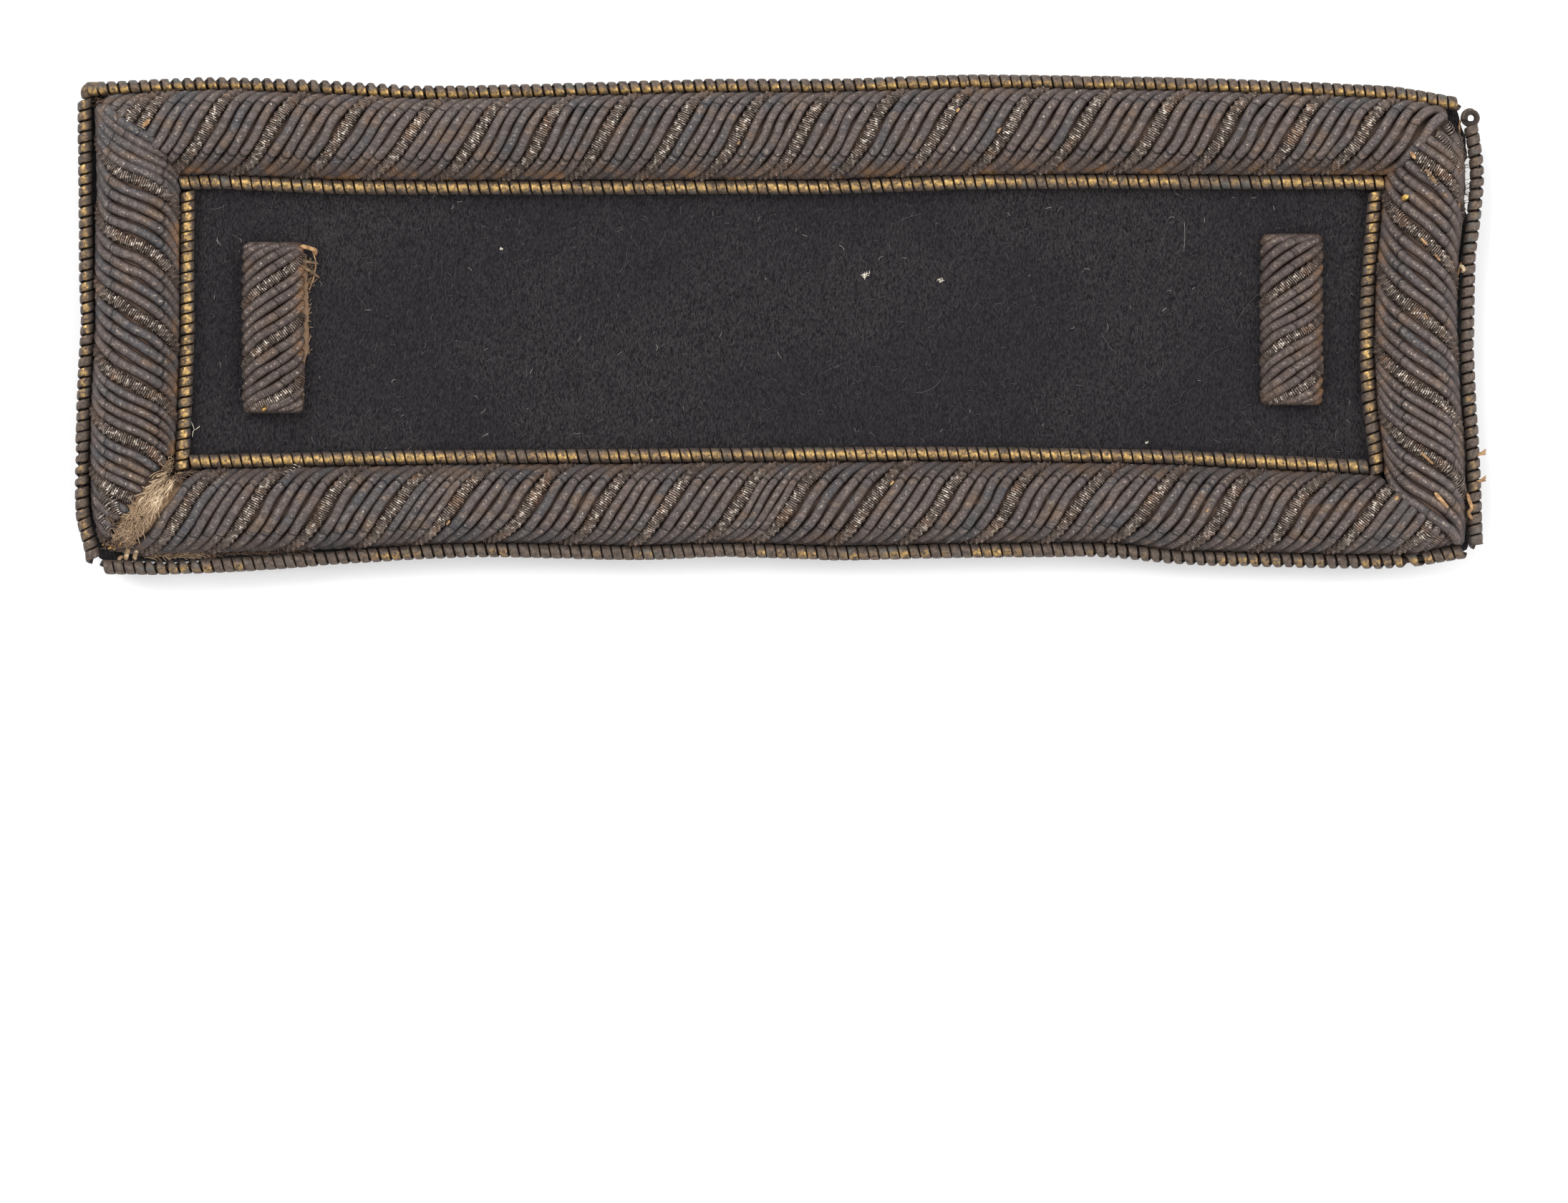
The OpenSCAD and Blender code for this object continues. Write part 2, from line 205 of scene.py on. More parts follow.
def rise_at(turn):
    """Share of a dome's height at an angle from its crown."""
    return (np.cos(turn) - math.cos(FOOT_ANGLE)) / (1 - math.cos(FOOT_ANGLE))


def across_at(turn):
    """Share of a dome's width at an angle from its crown."""
    return (1 + np.sin(turn) / math.sin(FOOT_ANGLE)) / 2


UP = np.array([0, 0, 1.0])


def unit(vectors):
    """Vectors made one unit long."""
    return vectors / np.maximum(np.linalg.norm(vectors, axis=-1, keepdims=True), 1e-12)


def sway(at, seed):
    """Smooth wandering value of about -1 to 1, over a few units."""
    dice = np.random.default_rng(seed)
    waves = dice.uniform(0.7, 2.6, 5)
    phases = dice.uniform(0, 2 * math.pi, 5)
    return np.sin(np.multiply.outer(at, waves) + phases).sum(-1) / 2.5


def read_at(places, known, rows):
    """Rows of values read between the places at which they are known."""
    return np.column_stack([np.interp(places, known, column) for column in rows.T])


def evenly(line, spacing, *others):
    """A line's points again at about even spacing, with other values read at the same places."""
    steps = np.linalg.norm(np.diff(line, axis=0), axis=1)
    length = np.concatenate([[0], np.cumsum(steps)])
    at = np.linspace(0, length[-1], max(4, int(round(length[-1] / spacing)) + 1))
    made = []
    for values in (line,) + others:
        read = read_at(at, length, values.reshape(len(length), -1))
        made.append(read.reshape(len(at), *values.shape[1:]))
    return made + [at]


def across_line(line, out):
    """Outward and sideways directions at each point of a line, square to it and to each other."""
    way = unit(np.gradient(line, axis=0))
    out = unit(out - (out * way).sum(1, keepdims=True) * way)
    return out, np.cross(way, out)


def upright(line):
    """The upward direction at each point of a line."""
    return np.tile(UP, (len(line), 1))


def ring(sides):
    """Round section as [outward, sideways] offsets."""
    turn = np.arange(sides) * 2 * math.pi / sides
    return np.column_stack([np.cos(turn), np.sin(turn)])


def ring_faces(rings, sides):
    """Ring and corner that each face of a tube starts at, and its four points."""
    i, j = np.meshgrid(np.arange(rings - 1), np.arange(sides), indexing="ij")
    i, j = i.ravel(), j.ravel()
    after = (j + 1) % sides
    low, high = i * sides, (i + 1) * sides
    return i, j, np.column_stack([low + j, low + after, high + after, high + j])


def keep_value(mesh, name, column):
    """Keeps a named value at each of a mesh's points."""
    attribute = mesh.attributes.new(name, "FLOAT", "POINT")
    attribute.data.foreach_set("value", column.astype(np.float32))


# Mesh building

# Each tube's faces take up cells of the map for baking. These are shares of a cell: its margin, and
# the width and the margin of a tube's end.
CELL_MARGIN = 0.05
CAP_WIDTH = 0.04
CAP_MARGIN = 0.005


class Pile:
    """Closed tubes gathered into one mesh, with named values at their points and a map for baking."""

    def __init__(self, cell_shape=1.0):
        self.cell_shape = cell_shape
        self.points = []
        self.quads = []
        self.kinds = []
        self.places = []
        self.cell_of = []
        self.values = []
        self.count = 0
        self.cells = 0

    def tube(self, middle, out, section, kind=0, per_cell=None, **values):
        """Adds a closed tube. Its section is given as [outward, sideways] offsets, once or for each ring."""
        n = len(middle)
        out, beside = across_line(middle, out)
        section = np.broadcast_to(section, (n,) + section.shape[-2:])
        m = section.shape[1]
        points = middle[:, None] + section[..., :1] * out[:, None] + section[..., 1:] * beside[:, None]
        i, j, quads = ring_faces(n, m)
        per_cell = per_cell or n - 1
        inside = 1 - 2 * CELL_MARGIN
        near = CELL_MARGIN + inside * (i % per_cell) / per_cell
        far = near + inside / per_cell
        low = CELL_MARGIN + inside * j / m
        high = low + inside / m
        places = np.stack([near, low, near, high, far, high, far, low], axis=1).reshape(-1, 4, 2)
        cell = i // per_cell
        k = np.arange(m // 2 - 1)
        cap = np.column_stack([k, k + 1, m - 2 - k, m - 1 - k])
        cap_place = np.stack([0 * k, k, 0 * k, k + 1, 0 * k + 1, k + 1, 0 * k + 1, k], axis=1)
        cap_place = cap_place.reshape(-1, 4, 2) / [1, max(1, len(k))]
        cap_place = cap_place * [CAP_WIDTH, inside] + [CAP_MARGIN, CELL_MARGIN]
        quads = np.concatenate([quads, cap[:, ::-1], cap + (n - 1) * m])
        places = np.concatenate([places, cap_place, cap_place + [1 - CELL_MARGIN, 0]])
        last = int(cell.max())
        cell = np.concatenate([cell, 0 * k, 0 * k + last]) + self.cells
        self.points.append(points.reshape(-1, 3))
        self.quads.append(quads + self.count)
        self.places.append(places)
        self.cell_of.append(cell)
        self.kinds.append(np.full(len(quads), kind))
        self.values.append({name: np.broadcast_to(v, (n, m)).ravel() for name, v in values.items()})
        self.count += n * m
        self.cells += last + 1

    def piece(self, name, materials, smooth=True):
        """Makes the object."""
        mesh = bpy.data.meshes.new(name)
        mesh.from_pydata((np.concatenate(self.points) * MM).tolist(), [], np.concatenate(self.quads).tolist())
        for key in sorted({key for row in self.values for key in row}):
            column = [row.get(key, np.zeros(len(p))) for row, p in zip(self.values, self.points)]
            keep_value(mesh, key, np.concatenate(column))
        columns = max(1, round(math.sqrt(self.cells * self.cell_shape)))
        rows = math.ceil(self.cells / columns)
        cell = np.concatenate(self.cell_of)
        corner = np.column_stack([cell % columns, cell // columns])[:, None]
        uv = (corner + np.concatenate(self.places)) / [columns, rows]
        layer = mesh.uv_layers.new(name="OFBake")
        layer.uv.foreach_set("vector", uv.astype(np.float32).ravel())
        mesh.polygons.foreach_set("material_index", np.concatenate(self.kinds).astype(np.int32))
        return made_piece(name, mesh, materials, smooth)


def made_piece(name, mesh, materials, smooth=True):
    """An object of the scene from a mesh."""
    for material in materials:
        mesh.materials.append(material)
    mesh.polygons.foreach_set("use_smooth", [smooth] * len(mesh.polygons))
    mesh.update()
    made = bpy.data.objects.new(name, mesh)
    bpy.context.scene.collection.objects.link(made)
    return made


def settle(piece, slot, *nodes):
    """A finished piece rides on the board and stands for its CAD nodes. Its slot is not used."""
    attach(piece, "root")
    if nodes:
        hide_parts(*nodes)


# Materials

def colour(red, green, blue):
    """Linear colour from the 0 to 255 values that a screen shows."""
    shown = [c / 255 for c in (red, green, blue)]
    return [c / 12.92 if c <= 0.04045 else ((c + 0.055) / 1.055) ** 2.4 for c in shown] + [1]


class Finish:
    """A material's nodes, with a short form for each kind that the board needs."""

    def __init__(self, name):
        self.material = bpy.data.materials.new(name)
        self.material.use_nodes = True
        self.nodes = self.material.node_tree.nodes
        self.links = self.material.node_tree.links
        self.shader = self.nodes["Principled BSDF"]

    def put(self, socket, value):
        """Links a node's value to a socket, or sets a number or a screen colour there."""
        if isinstance(value, bpy.types.NodeSocket):
            self.links.new(value, socket)
        else:
            socket.default_value = colour(*value) if isinstance(value, tuple) else value

    def value(self, name):
        """A value kept at the mesh's points."""
        node = self.nodes.new("ShaderNodeAttribute")
        node.attribute_name = name
        return node.outputs["Fac"]

    def place(self, stretch=(1, 1, 1), turn=0.0):
        """Object coordinates in millimetres, stretched and turned in the plane of the board."""
        spot = self.nodes.new("ShaderNodeTexCoord")
        node = self.nodes.new("ShaderNodeMapping")
        self.links.new(spot.outputs["Object"], node.inputs["Vector"])
        node.inputs["Scale"].default_value = [s / MM for s in stretch]
        node.inputs["Rotation"].default_value = (0, 0, turn)
        return node.outputs["Vector"]

    def axes(self):
        """Object coordinates in millimetres, apart."""
        node = self.nodes.new("ShaderNodeSeparateXYZ")
        self.links.new(self.place(), node.inputs[0])
        return node.outputs

    def noise(self, size, detail=3.0, where=None, rough=0.5):
        """Noise with spots of about the given size in millimetres."""
        node = self.nodes.new("ShaderNodeTexNoise")
        self.links.new(where or self.place(), node.inputs["Vector"])
        node.inputs["Scale"].default_value = 1 / size
        node.inputs["Detail"].default_value = detail
        node.inputs["Roughness"].default_value = rough
        return node.outputs["Fac"]

    def math(self, way, a, b=0.0, c=0.0):
        """One step of arithmetic on up to three values."""
        node = self.nodes.new("ShaderNodeMath")
        node.operation = way
        for socket, value in zip(node.inputs, (a, b, c)):
            self.put(socket, value)
        return node.outputs[0]

    def sum(self, *terms):
        """Sum of values, each given with its weight."""
        total = 0.0
        for value, weight in terms:
            total = self.math("MULTIPLY_ADD", value, weight, total)
        return total

    def times(self, first, *others):
        """Product of values."""
        for other in others:
            first = self.math("MULTIPLY", first, other)
        return first

    def between(self, value, low, high, to_low=0.0, to_high=1.0):
        """A value's range turned smoothly into another."""
        node = self.nodes.new("ShaderNodeMapRange")
        node.interpolation_type = "SMOOTHSTEP"
        for name, given in zip(("Value", "From Min", "From Max", "To Min", "To Max"),
                               (value, low, high, to_low, to_high)):
            self.put(node.inputs[name], given)
        return node.outputs["Result"]

    def mix(self, share, a, b, way="MIX"):
        """A colour between two, by a share."""
        node = self.nodes.new("ShaderNodeMix")
        node.data_type = "RGBA"
        node.blend_type = way
        self.put(node.inputs[0], share)
        self.put(node.inputs[6], a)
        self.put(node.inputs[7], b)
        return node.outputs[2]

    def dim(self, base, *given):
        """A colour made darker or lighter by a value's range, given as for between."""
        return self.mix(1.0, base, self.between(*given), "MULTIPLY")

    def random(self, value):
        """A random number for each whole number of a value."""
        node = self.nodes.new("ShaderNodeTexWhiteNoise")
        node.noise_dimensions = "1D"
        self.put(node.inputs["W"], self.math("FLOOR", value))
        return node.outputs["Value"]

    def windings(self, pitch):
        """Count of windings along a wound strand, from its length and the turn round it."""
        return self.math("ADD", self.math("DIVIDE", self.value("length"), pitch), self.value("turn"))

    def finish(self, base, rough, metal=0.0, height=None, depth=0.0, shine=0.5, sheen=0.0):
        """The material, with its relief given as a height and its depth in millimetres."""
        self.put(self.shader.inputs["Base Color"], base)
        self.put(self.shader.inputs["Roughness"], rough)
        self.put(self.shader.inputs["Metallic"], metal)
        self.shader.inputs["Specular IOR Level"].default_value = shine
        self.shader.inputs["Sheen Weight"].default_value = sheen
        self.shader.inputs["Sheen Roughness"].default_value = 0.5
        if height is not None:
            node = self.nodes.new("ShaderNodeBump")
            node.inputs["Distance"].default_value = depth * MM
            node.inputs["Strength"].default_value = 1.0
            self.links.new(height, node.inputs["Height"])
            self.links.new(node.outputs["Normal"], self.shader.inputs["Normal"])
        return self.material


# Distance from winding to winding of the smooth strands
PURL_PITCH = 0.13


def smooth_wire():
    """Smooth purl: fine windings, tarnished grey and brown, with orange patches, worn tops that are partly
    painted highlight, painted glints and painted shade on the sides.
    """
    f = Finish("smooth_purl_wire")
    count = f.windings(PURL_PITCH)
    patch = f.noise(2.2, 2.0)
    mottle = f.noise(0.34, 3.0, rough=0.6)
    tone = f.sum((f.value("tone"), 0.3), (patch, 0.95), (f.axes()["X"], -0.0016))
    base = f.mix(f.between(tone, 0.4, 0.95), (90, 78, 74), (75, 73, 75))
    warm = f.between(f.noise(1.6, 3.0, f.place((0.6, 1, 1), 0.8)), 0.5, 0.72, 0.0, 0.75)
    base = f.mix(warm, base, (106, 86, 70))
    stain = f.between(f.noise(1.9, 3.0), 0.46, 0.62, 0.05, 0.95)
    feet = f.times(f.between(f.value("inner"), 0.68, 0.97), stain)
    base = f.mix(feet, base, (142, 106, 74))
    base = f.dim(base, mottle, 0.32, 0.68, 0.86, 1.14)
    base = f.dim(base, f.random(count), 0.0, 1.0, 0.78, 1.2)
    base = f.dim(base, f.random(f.times(count, 0.37)), 0.0, 1.0, 0.95, 1.05)
    base = f.dim(base, f.noise(0.15, 2.0), 0.35, 0.65, 0.88, 1.12)
    base = f.dim(base, f.value("tone"), -1.6, -0.2, 0.76, 1.0)
    base = f.dim(base, f.axes()["Y"], -17.0, -9.0, 0.95, 1.0)
    # Partly real wear and partly painted highlight: the tops of the strands are made lighter in patches.
    worn = f.times(f.between(f.value("crest"), 0.75, 1.0), f.between(f.noise(0.3, 3.0), 0.5, 0.75))
    base = f.mix(f.times(worn, 0.75), base, (143, 128, 117))
    # Painted glints: small bright spots on the tops of the strands.
    painted_spark = f.times(f.between(f.value("crest"), 0.8, 1.0), f.between(f.noise(0.2, 1.0), 0.66, 0.72))
    base = f.mix(f.times(painted_spark, 0.75), base, (190, 176, 162))
    # Painted shade: the sides of each strand, low down between its neighbours, are darkened.
    base = f.mix(f.between(f.value("crest"), 0.1, 0.72), (76, 59, 51), base)
    crack = f.random(f.math("ADD", count, 37.0))
    base = f.dim(base, crack, 0.04, 0.07, 0.3, 1.0)
    height = f.sum((f.math("PINGPONG", count, 0.5), 1.0), (f.noise(0.2, 2.0), 0.7))
    return f.finish(base, f.between(patch, 0.3, 0.7, 0.5, 0.64), 0.45, height, 0.04)


def rough_wire():
    """Rough purl: bent windings that catch the light, over dark tarnish, with painted glints, tops painted
    lighter and undersides painted with shade.
    """
    f = Finish("rough_purl_wire")
    tarnish = f.noise(0.5, 4.0, rough=0.7)
    base = f.mix(f.between(tarnish, 0.3, 0.62), (76, 65, 59), (112, 100, 92))
    base = f.mix(f.between(f.noise(1.5, 2.0), 0.5, 0.72, 0.0, 0.6), base, (132, 103, 82))
    feet = f.math("ABSOLUTE", f.math("SUBTRACT", f.value("inner"), 0.5))
    base = f.mix(f.between(feet, 0.22, 0.45, 0.0, 0.75), base, (82, 67, 60))
    base = f.dim(base, f.random(f.value("wound")), 0.0, 1.0, 0.68, 1.26)
    # Painted light: the tops of the windings are made lighter than their sides.
    base = f.dim(base, f.value("crest"), 0.0, 0.9, 0.98, 1.1)
    # Painted glints on the tops of the windings, fewer towards the feet.
    glint = f.between(f.noise(0.3, 2.0), 0.53, 0.65)
    glint = f.times(glint, f.between(f.value("crest"), 0.5, 0.95, 0.0, 0.9))
    glint = f.times(glint, f.between(feet, 0.14, 0.33, 1.0, 0.1))
    base = f.mix(glint, base, (224, 212, 198))
    # Painted shade under the windings, where they face down and inward.
    base = f.mix(f.between(f.value("crest"), -0.8, -0.1), (60, 49, 44), base)
    return f.finish(base, f.between(tarnish, 0.3, 0.7, 0.4, 0.55), 0.55, f.noise(0.08, 2.0), 0.01)


def coil_wire():
    """Broad wire of the edge coils: dark tarnish with gold where it has been rubbed, the gold partly a
    painted highlight, and painted shade on the sides and underside of each turn.
    """
    f = Finish("coil_wire")
    turn = f.random(f.value("turns"))
    blotch = f.noise(0.28, 4.0, rough=0.7)
    tarnish = f.mix(f.between(blotch, 0.35, 0.65), (70, 60, 55), (105, 91, 80))
    cool = f.between(f.noise(1.3, 2.0), 0.56, 0.7, 0.0, 0.6)
    tarnish = f.mix(cool, tarnish, (92, 94, 91))
    level = f.sum((turn, 0.6), (f.noise(2.4, 3.0), 1.1), (f.noise(7.0, 1.0), 1.6), (f.value("gold"), 0.9))
    patchy = f.between(blotch, 0.34, 0.66, 0.1, 1.5)
    # Partly real wear and partly painted highlight: gold where the coil is rubbed, brightest where most.
    rub_and_highlight = f.times(f.value("wear"), f.between(level, 1.52, 2.72, 0.0, 1.35), patchy)
    base = f.mix(f.between(rub_and_highlight, 0.05, 0.6), tarnish, (134, 108, 72))
    base = f.mix(f.between(rub_and_highlight, 0.5, 1.3), base, (186, 152, 92))
    # Painted shade: the sides and underside of each turn are darkened.
    base = f.mix(f.between(f.value("face"), -0.1, 0.9), (52, 43, 38), base)
    scratch = f.noise(0.09, 3.0, rough=0.7)
    return f.finish(base, f.between(rub_and_highlight, 0.1, 1.0, 0.6, 0.36), 0.55, scratch, 0.014)


def core_thread():
    """Dark thread inside a coil or a rough strand."""
    f = Finish("core_thread")
    base = f.mix(f.noise(0.3, 3.0), (30, 24, 21), (70, 58, 50))
    return f.finish(base, 0.9, 0.0, f.noise(0.08, 2.0), 0.03, 0.2)


def wool_cloth():
    """Near-black milled wool: short nap over a faint twill."""
    f = Finish("wool_cloth")
    nap = f.noise(0.12, 3.0, f.place((1.8, 0.55, 1), 0.45), 0.75)
    flock = f.noise(0.18, 3.0, f.place((1.5, 0.6, 1), -0.6), 0.75)
    level = f.sum((nap, 0.5), (flock, 0.5))
    base = f.mix(f.between(level, 0.4, 0.64), (16, 15, 17), (60, 57, 59))
    base = f.mix(f.between(f.noise(0.45, 3.0), 0.45, 0.7, 0.0, 0.35), base, (48, 44, 46))
    base = f.mix(f.between(f.noise(11.0, 2.0), 0.4, 0.65, 0.0, 0.35), base, (28, 26, 29))
    return f.finish(base, 0.95, 0.0, level, 0.12, 0.1, 0.04)


def fibre(name, low, high, stray, sheen=0.1):
    """Loose hairs and lint, from a dark to a light colour by their tone."""
    f = Finish(name)
    base = f.mix(f.value("tone"), low, high)
    base = f.mix(f.between(f.value("tone"), 0.95, 0.98), base, stray)
    base = f.dim(base, f.noise(0.3, 2.0), 0.3, 0.7, 0.8, 1.15)
    return f.finish(base, 0.8, 0.0, f.noise(0.05, 1.0), 0.004, 0.3, sheen)


def cotton():
    """Matted cotton or felt: fine fibres, painted dark as shade where the strands cover it and it is not
    bare.
    """
    f = Finish("cotton_padding")
    strand = f.noise(0.14, 4.0, f.place((1.8, 0.4, 1), 0.75), 0.7)
    cross = f.noise(0.2, 3.0, f.place((0.5, 1.8, 1), 0.2), 0.7)
    level = f.sum((strand, 0.55), (cross, 0.45))
    base = f.mix(f.between(level, 0.36, 0.64), (118, 92, 70), (172, 144, 114))
    base = f.mix(f.between(f.value("low"), 0.3, 1.0, 0.0, 0.75), base, (106, 82, 66))
    # Painted shade: away from the bare places the padding is made dark, standing in for the shade in the gaps
    # between the strands.
    shown = f.sum((f.value("bare"), 1.0), (f.noise(1.2, 3.0), 0.5))
    base = f.mix(f.between(shown, 0.4, 0.75), (82, 66, 57), base)
    return f.finish(base, 0.95, 0.0, level, 0.14, 0.1, 0.1)


def twisted(name, pale, deep, pitch=0.5):
    """Twisted thread, with painted shade in the grooves of its twist."""
    f = Finish(name)
    twist = f.math("SINE", f.times(f.windings(pitch), 2 * math.pi))
    base = f.mix(f.between(f.noise(0.4, 3.0), 0.35, 0.65), deep, pale)
    # Painted shade in the grooves of the twist.
    base = f.mix(f.between(twist, -1.0, 1.0, 0.75, 1.0), deep, base)
    return f.finish(base, 0.85, 0.0, twist, 0.03, 0.2, 0.1)


def bright_wire():
    """Bare brass where a wire has kept its colour."""
    f = Finish("bright_wire")
    rubbed = f.noise(0.25, 3.0)
    base = f.mix(f.between(rubbed, 0.35, 0.65), (150, 112, 60), (232, 192, 112))
    return f.finish(base, f.between(rubbed, 0.3, 0.7, 0.42, 0.26), 0.75, f.noise(0.08, 2.0), 0.01)


def linen():
    """Plain woven linen, with painted shade in the hollows of the weave."""
    f = Finish("linen")
    x, y, z = f.axes()
    pitch = 0.42
    warp = f.times(f.math("MULTIPLY_ADD", z, 0.9, x), math.pi / pitch)
    weft = f.times(f.math("MULTIPLY_ADD", z, -0.9, y), math.pi / pitch)
    over = f.times(f.math("SINE", warp), f.math("SINE", weft))
    warp_ridge = f.times(f.math("ABSOLUTE", f.math("COSINE", warp)), f.between(over, -0.3, 0.3))
    weft_ridge = f.times(f.math("ABSOLUTE", f.math("COSINE", weft)), f.between(over, 0.3, -0.3))
    height = f.math("ADD", warp_ridge, weft_ridge)
    slub = f.noise(1.4, 4.0, f.place((0.25, 1.5, 1)))
    # Painted shade: the hollows of the weave are darker than the tops of its threads.
    base = f.mix(f.between(height, 0.1, 0.9), (104, 84, 60), (184, 160, 126))
    base = f.mix(f.between(slub, 0.4, 0.7, 0.0, 0.45), base, (138, 112, 80))
    base = f.mix(f.between(f.noise(9.0, 3.0), 0.5, 0.7, 0.0, 0.35), base, (112, 92, 68))
    return f.finish(base, 0.9, 0.0, height, 0.1, 0.15, 0.05)


SMOOTH = smooth_wire()
ROUGH = rough_wire()
COIL = coil_wire()
CORE = core_thread()
WOOL = wool_cloth()
HAIR = fibre("wool_fibre", (34, 32, 34), (104, 100, 100), (180, 174, 166))
LINT = fibre("white_lint", (170, 160, 145), (236, 228, 212), (240, 235, 225))
COTTON = cotton()
COTTON_FIBRE = fibre("cotton_fibre", (124, 96, 72), (194, 170, 138), (222, 204, 176))
BROWN_FIBRE = fibre("brown_fibre", (66, 52, 44), (128, 98, 74), (160, 126, 92))
TAN_THREAD = twisted("tan_thread", (200, 160, 112), (138, 104, 74))
PALE_THREAD = twisted("pale_thread", (214, 192, 158), (150, 122, 92))
BROWN_THREAD = twisted("brown_thread", (150, 124, 92), (98, 78, 60))
DARK_THREAD = twisted("dark_thread", (44, 54, 58), (20, 26, 29), 0.9)
BRASS = bright_wire()
LINEN = linen()


# Coils

# Section of the coils' broad wire: shares of its half thickness outward and half width sideways
WIRE_SECTION = np.array([(1.0, 0.4), (0.84, 0.82), (0.2, 1.0), (-1.0, 0.9),
                         (-1.0, -0.9), (0.2, -1.0), (0.84, -0.82), (1.0, -0.4)])
# How far each corner of the section faces outward; it sets where painted shade falls on the coil.
WIRE_FACE = np.array([1.0, 0.75, 0.0, -1.0, -1.0, 0.0, 0.75, 1.0])
# How much slower a wire runs along the coil over its top than in the mean
TOP_SLOW = 0.25
WIRE_PITCH = 0.75
WIRE_HALF_WIDTH = 0.345
WIRE_HALF_THICK = 0.13
STEPS_PER_TURN = 16
# Points that a coil's middle line is drawn through, and the distance between its even ones
COIL_POINTS = 400
COIL_STEP = 0.1
# Steps of the dark core inside a coil or a rough strand, and how far inside the wire a coil's lies
CORE_STEP = 0.8
CORE_CLEAR = 0.06
# How far each outer coil's middle line is drawn on past the start and the end of its CAD node
OUTER_PAST = [(0.65, 0.4), (-0.1, 0.4), (0.4, 0.4), (0.4, 0.4)]
INNER_PAST = (0.4, 0.4)

# Looks of each coil. RUB is where it is worn and painted with a highlight, from -1 at its outer edge to 1 at
# its inner edge, and SPREAD how wide; GOLD is how much of it is bright. LOOSE lists stretches where the
# turns stand apart: first and last share of the coil, how far as a share of the pitch, and the side, -1
# for the outer and 1 for the inner, on which the wire narrows.
RUB, SPREAD, GOLD, LOOSE = range(4)
OUTER_LOOKS = [
    (0.35, 0.4, 0.85, [(0.0, 0.06, 0.05, -1), (0.06, 0.25, 0.12, -1), (0.25, 0.6, 0.05, -1),
                       (0.8, 0.93, 0.03, -1)]),
    (0.0, 0.5, 0.1, [(0.08, 0.2, 0.06, -1), (0.2, 0.9, 0.03, -1)]),
    (-0.3, 0.5, 0.2, [(0.035, 0.075, 0.12, 1), (0.15, 0.3, 0.04, -1), (0.72, 0.95, 0.08, -1),
                      (0.95, 0.962, 0.9, -1)]),
    (-0.1, 0.4, 0.35, [(0.74, 0.84, 0.12, -1), (0.0, 0.7, 0.04, -1)]),
]
INNER_LOOKS = [
    (0.0, 0.5, 0.85, []),
    (0.0, 0.5, 0.7, []),
    (-0.05, 0.5, 0.8, []),
    (0.0, 0.55, 0.95, []),
]


def coil_middle(side, inner):
    """Middle line of a coil, close together, between the ends that its CAD node has."""
    low, high = size_of(f"{'inner' if inner else 'outer'}_coil_{SIDE_NAMES[side]}")
    if side in (TOP, BOTTOM):
        first, last = low[0] + HALF_X, high[0] + HALF_X
    else:
        first, last = HALF_Y - high[1], HALF_Y - low[1]
    before, after = INNER_PAST if inner else OUTER_PAST[side]
    along = np.linspace(first - before, last + after, COIL_POINTS)
    share = along / RUN_OF[side]
    inward = inner_line(side, share) if inner else coil_line(side, share)
    return on_board(side, along, inward, WORK_Z + COIL_D / 2)


def turn_starts(length, loose, dice):
    """Distances along a coil at which its turns begin."""
    turns = [WIRE_HALF_WIDTH]
    while turns[-1] < length - WIRE_HALF_WIDTH:
        share = turns[-1] / length
        apart = sum(more for first, last, more, _ in loose if first <= share < last)
        turns.append(turns[-1] + WIRE_PITCH * (1 + apart + dice.normal(0, 0.022)))
    turns = np.array(turns[:-1]) - turns[0]
    return WIRE_HALF_WIDTH + turns * (length - 2 * WIRE_HALF_WIDTH) / turns[-1]


def wound_coil(name, side, inner):
    """A coil of broad wire round a dark core."""
    look = (INNER_LOOKS if inner else OUTER_LOOKS)[side]
    dice = np.random.default_rng(40 + 2 * side + inner)
    line, at = evenly(coil_middle(side, inner), COIL_STEP)
    turns = turn_starts(at[-1], look[LOOSE], dice)
    count = np.arange((len(turns) - 1) * STEPS_PER_TURN + 1) / STEPS_PER_TURN
    swing = 2 * math.pi * count + math.pi
    station = np.interp(count - TOP_SLOW * np.sin(swing) / (2 * math.pi), np.arange(len(turns)), turns)
    centre = read_at(station, at, line)
    way = unit(read_at(station, at, np.gradient(line, axis=0)))
    out = np.cos(swing)[:, None] * UP + np.sin(swing)[:, None] * np.cross(way, UP)
    proud = np.interp(count, np.arange(len(turns)), dice.normal(0, 0.02, len(turns)))
    radius = COIL_D / 2 - WIRE_HALF_THICK + np.minimum(proud, 0.01)
    middle = centre + out * radius[:, None]
    across = out[:, :2] @ INWARD_WAY[side]
    half_width = WIRE_HALF_WIDTH * (1 + 0.03 * np.sin(count * 2.1))
    for first, last, more, narrow_side in look[LOOSE]:
        inside = (station / at[-1] >= first) & (station / at[-1] < last)
        half_width *= 1 - inside * min(4 * more, 0.45) * np.clip(narrow_side * across, 0, 1)
    halves = np.column_stack([np.full(len(count), WIRE_HALF_THICK), half_width])
    section = WIRE_SECTION[None] * halves[:, None]
    # Rubbed band that also stands in for a painted highlight, on the upper side of each turn only.
    wear = np.exp(-((across - look[RUB]) / look[SPREAD]) ** 2) * (out[:, 2] > -0.2)
    pile = Pile(cell_shape=0.5)
    pile.tube(middle, out, section, 0, STEPS_PER_TURN, wear=wear[:, None], face=WIRE_FACE[None],
              turns=count[:, None] + 200 * side, gold=look[GOLD])
    core, _ = evenly(line[4:-4], CORE_STEP)
    pile.tube(core, upright(core), ring(8) * (COIL_D / 2 - 2 * WIRE_HALF_THICK - CORE_CLEAR), 1)
    return pile.piece(name, [COIL, CORE])


def make_coils():
    """The outer and the inner coil of each side."""
    for inner in (False, True):
        for side in range(4):
            node = f"{'inner' if inner else 'outer'}_coil_{SIDE_NAMES[side]}"
            settle(wound_coil(f"wound_{node}", side, inner), "coil_wire", node)


# Strands of the border

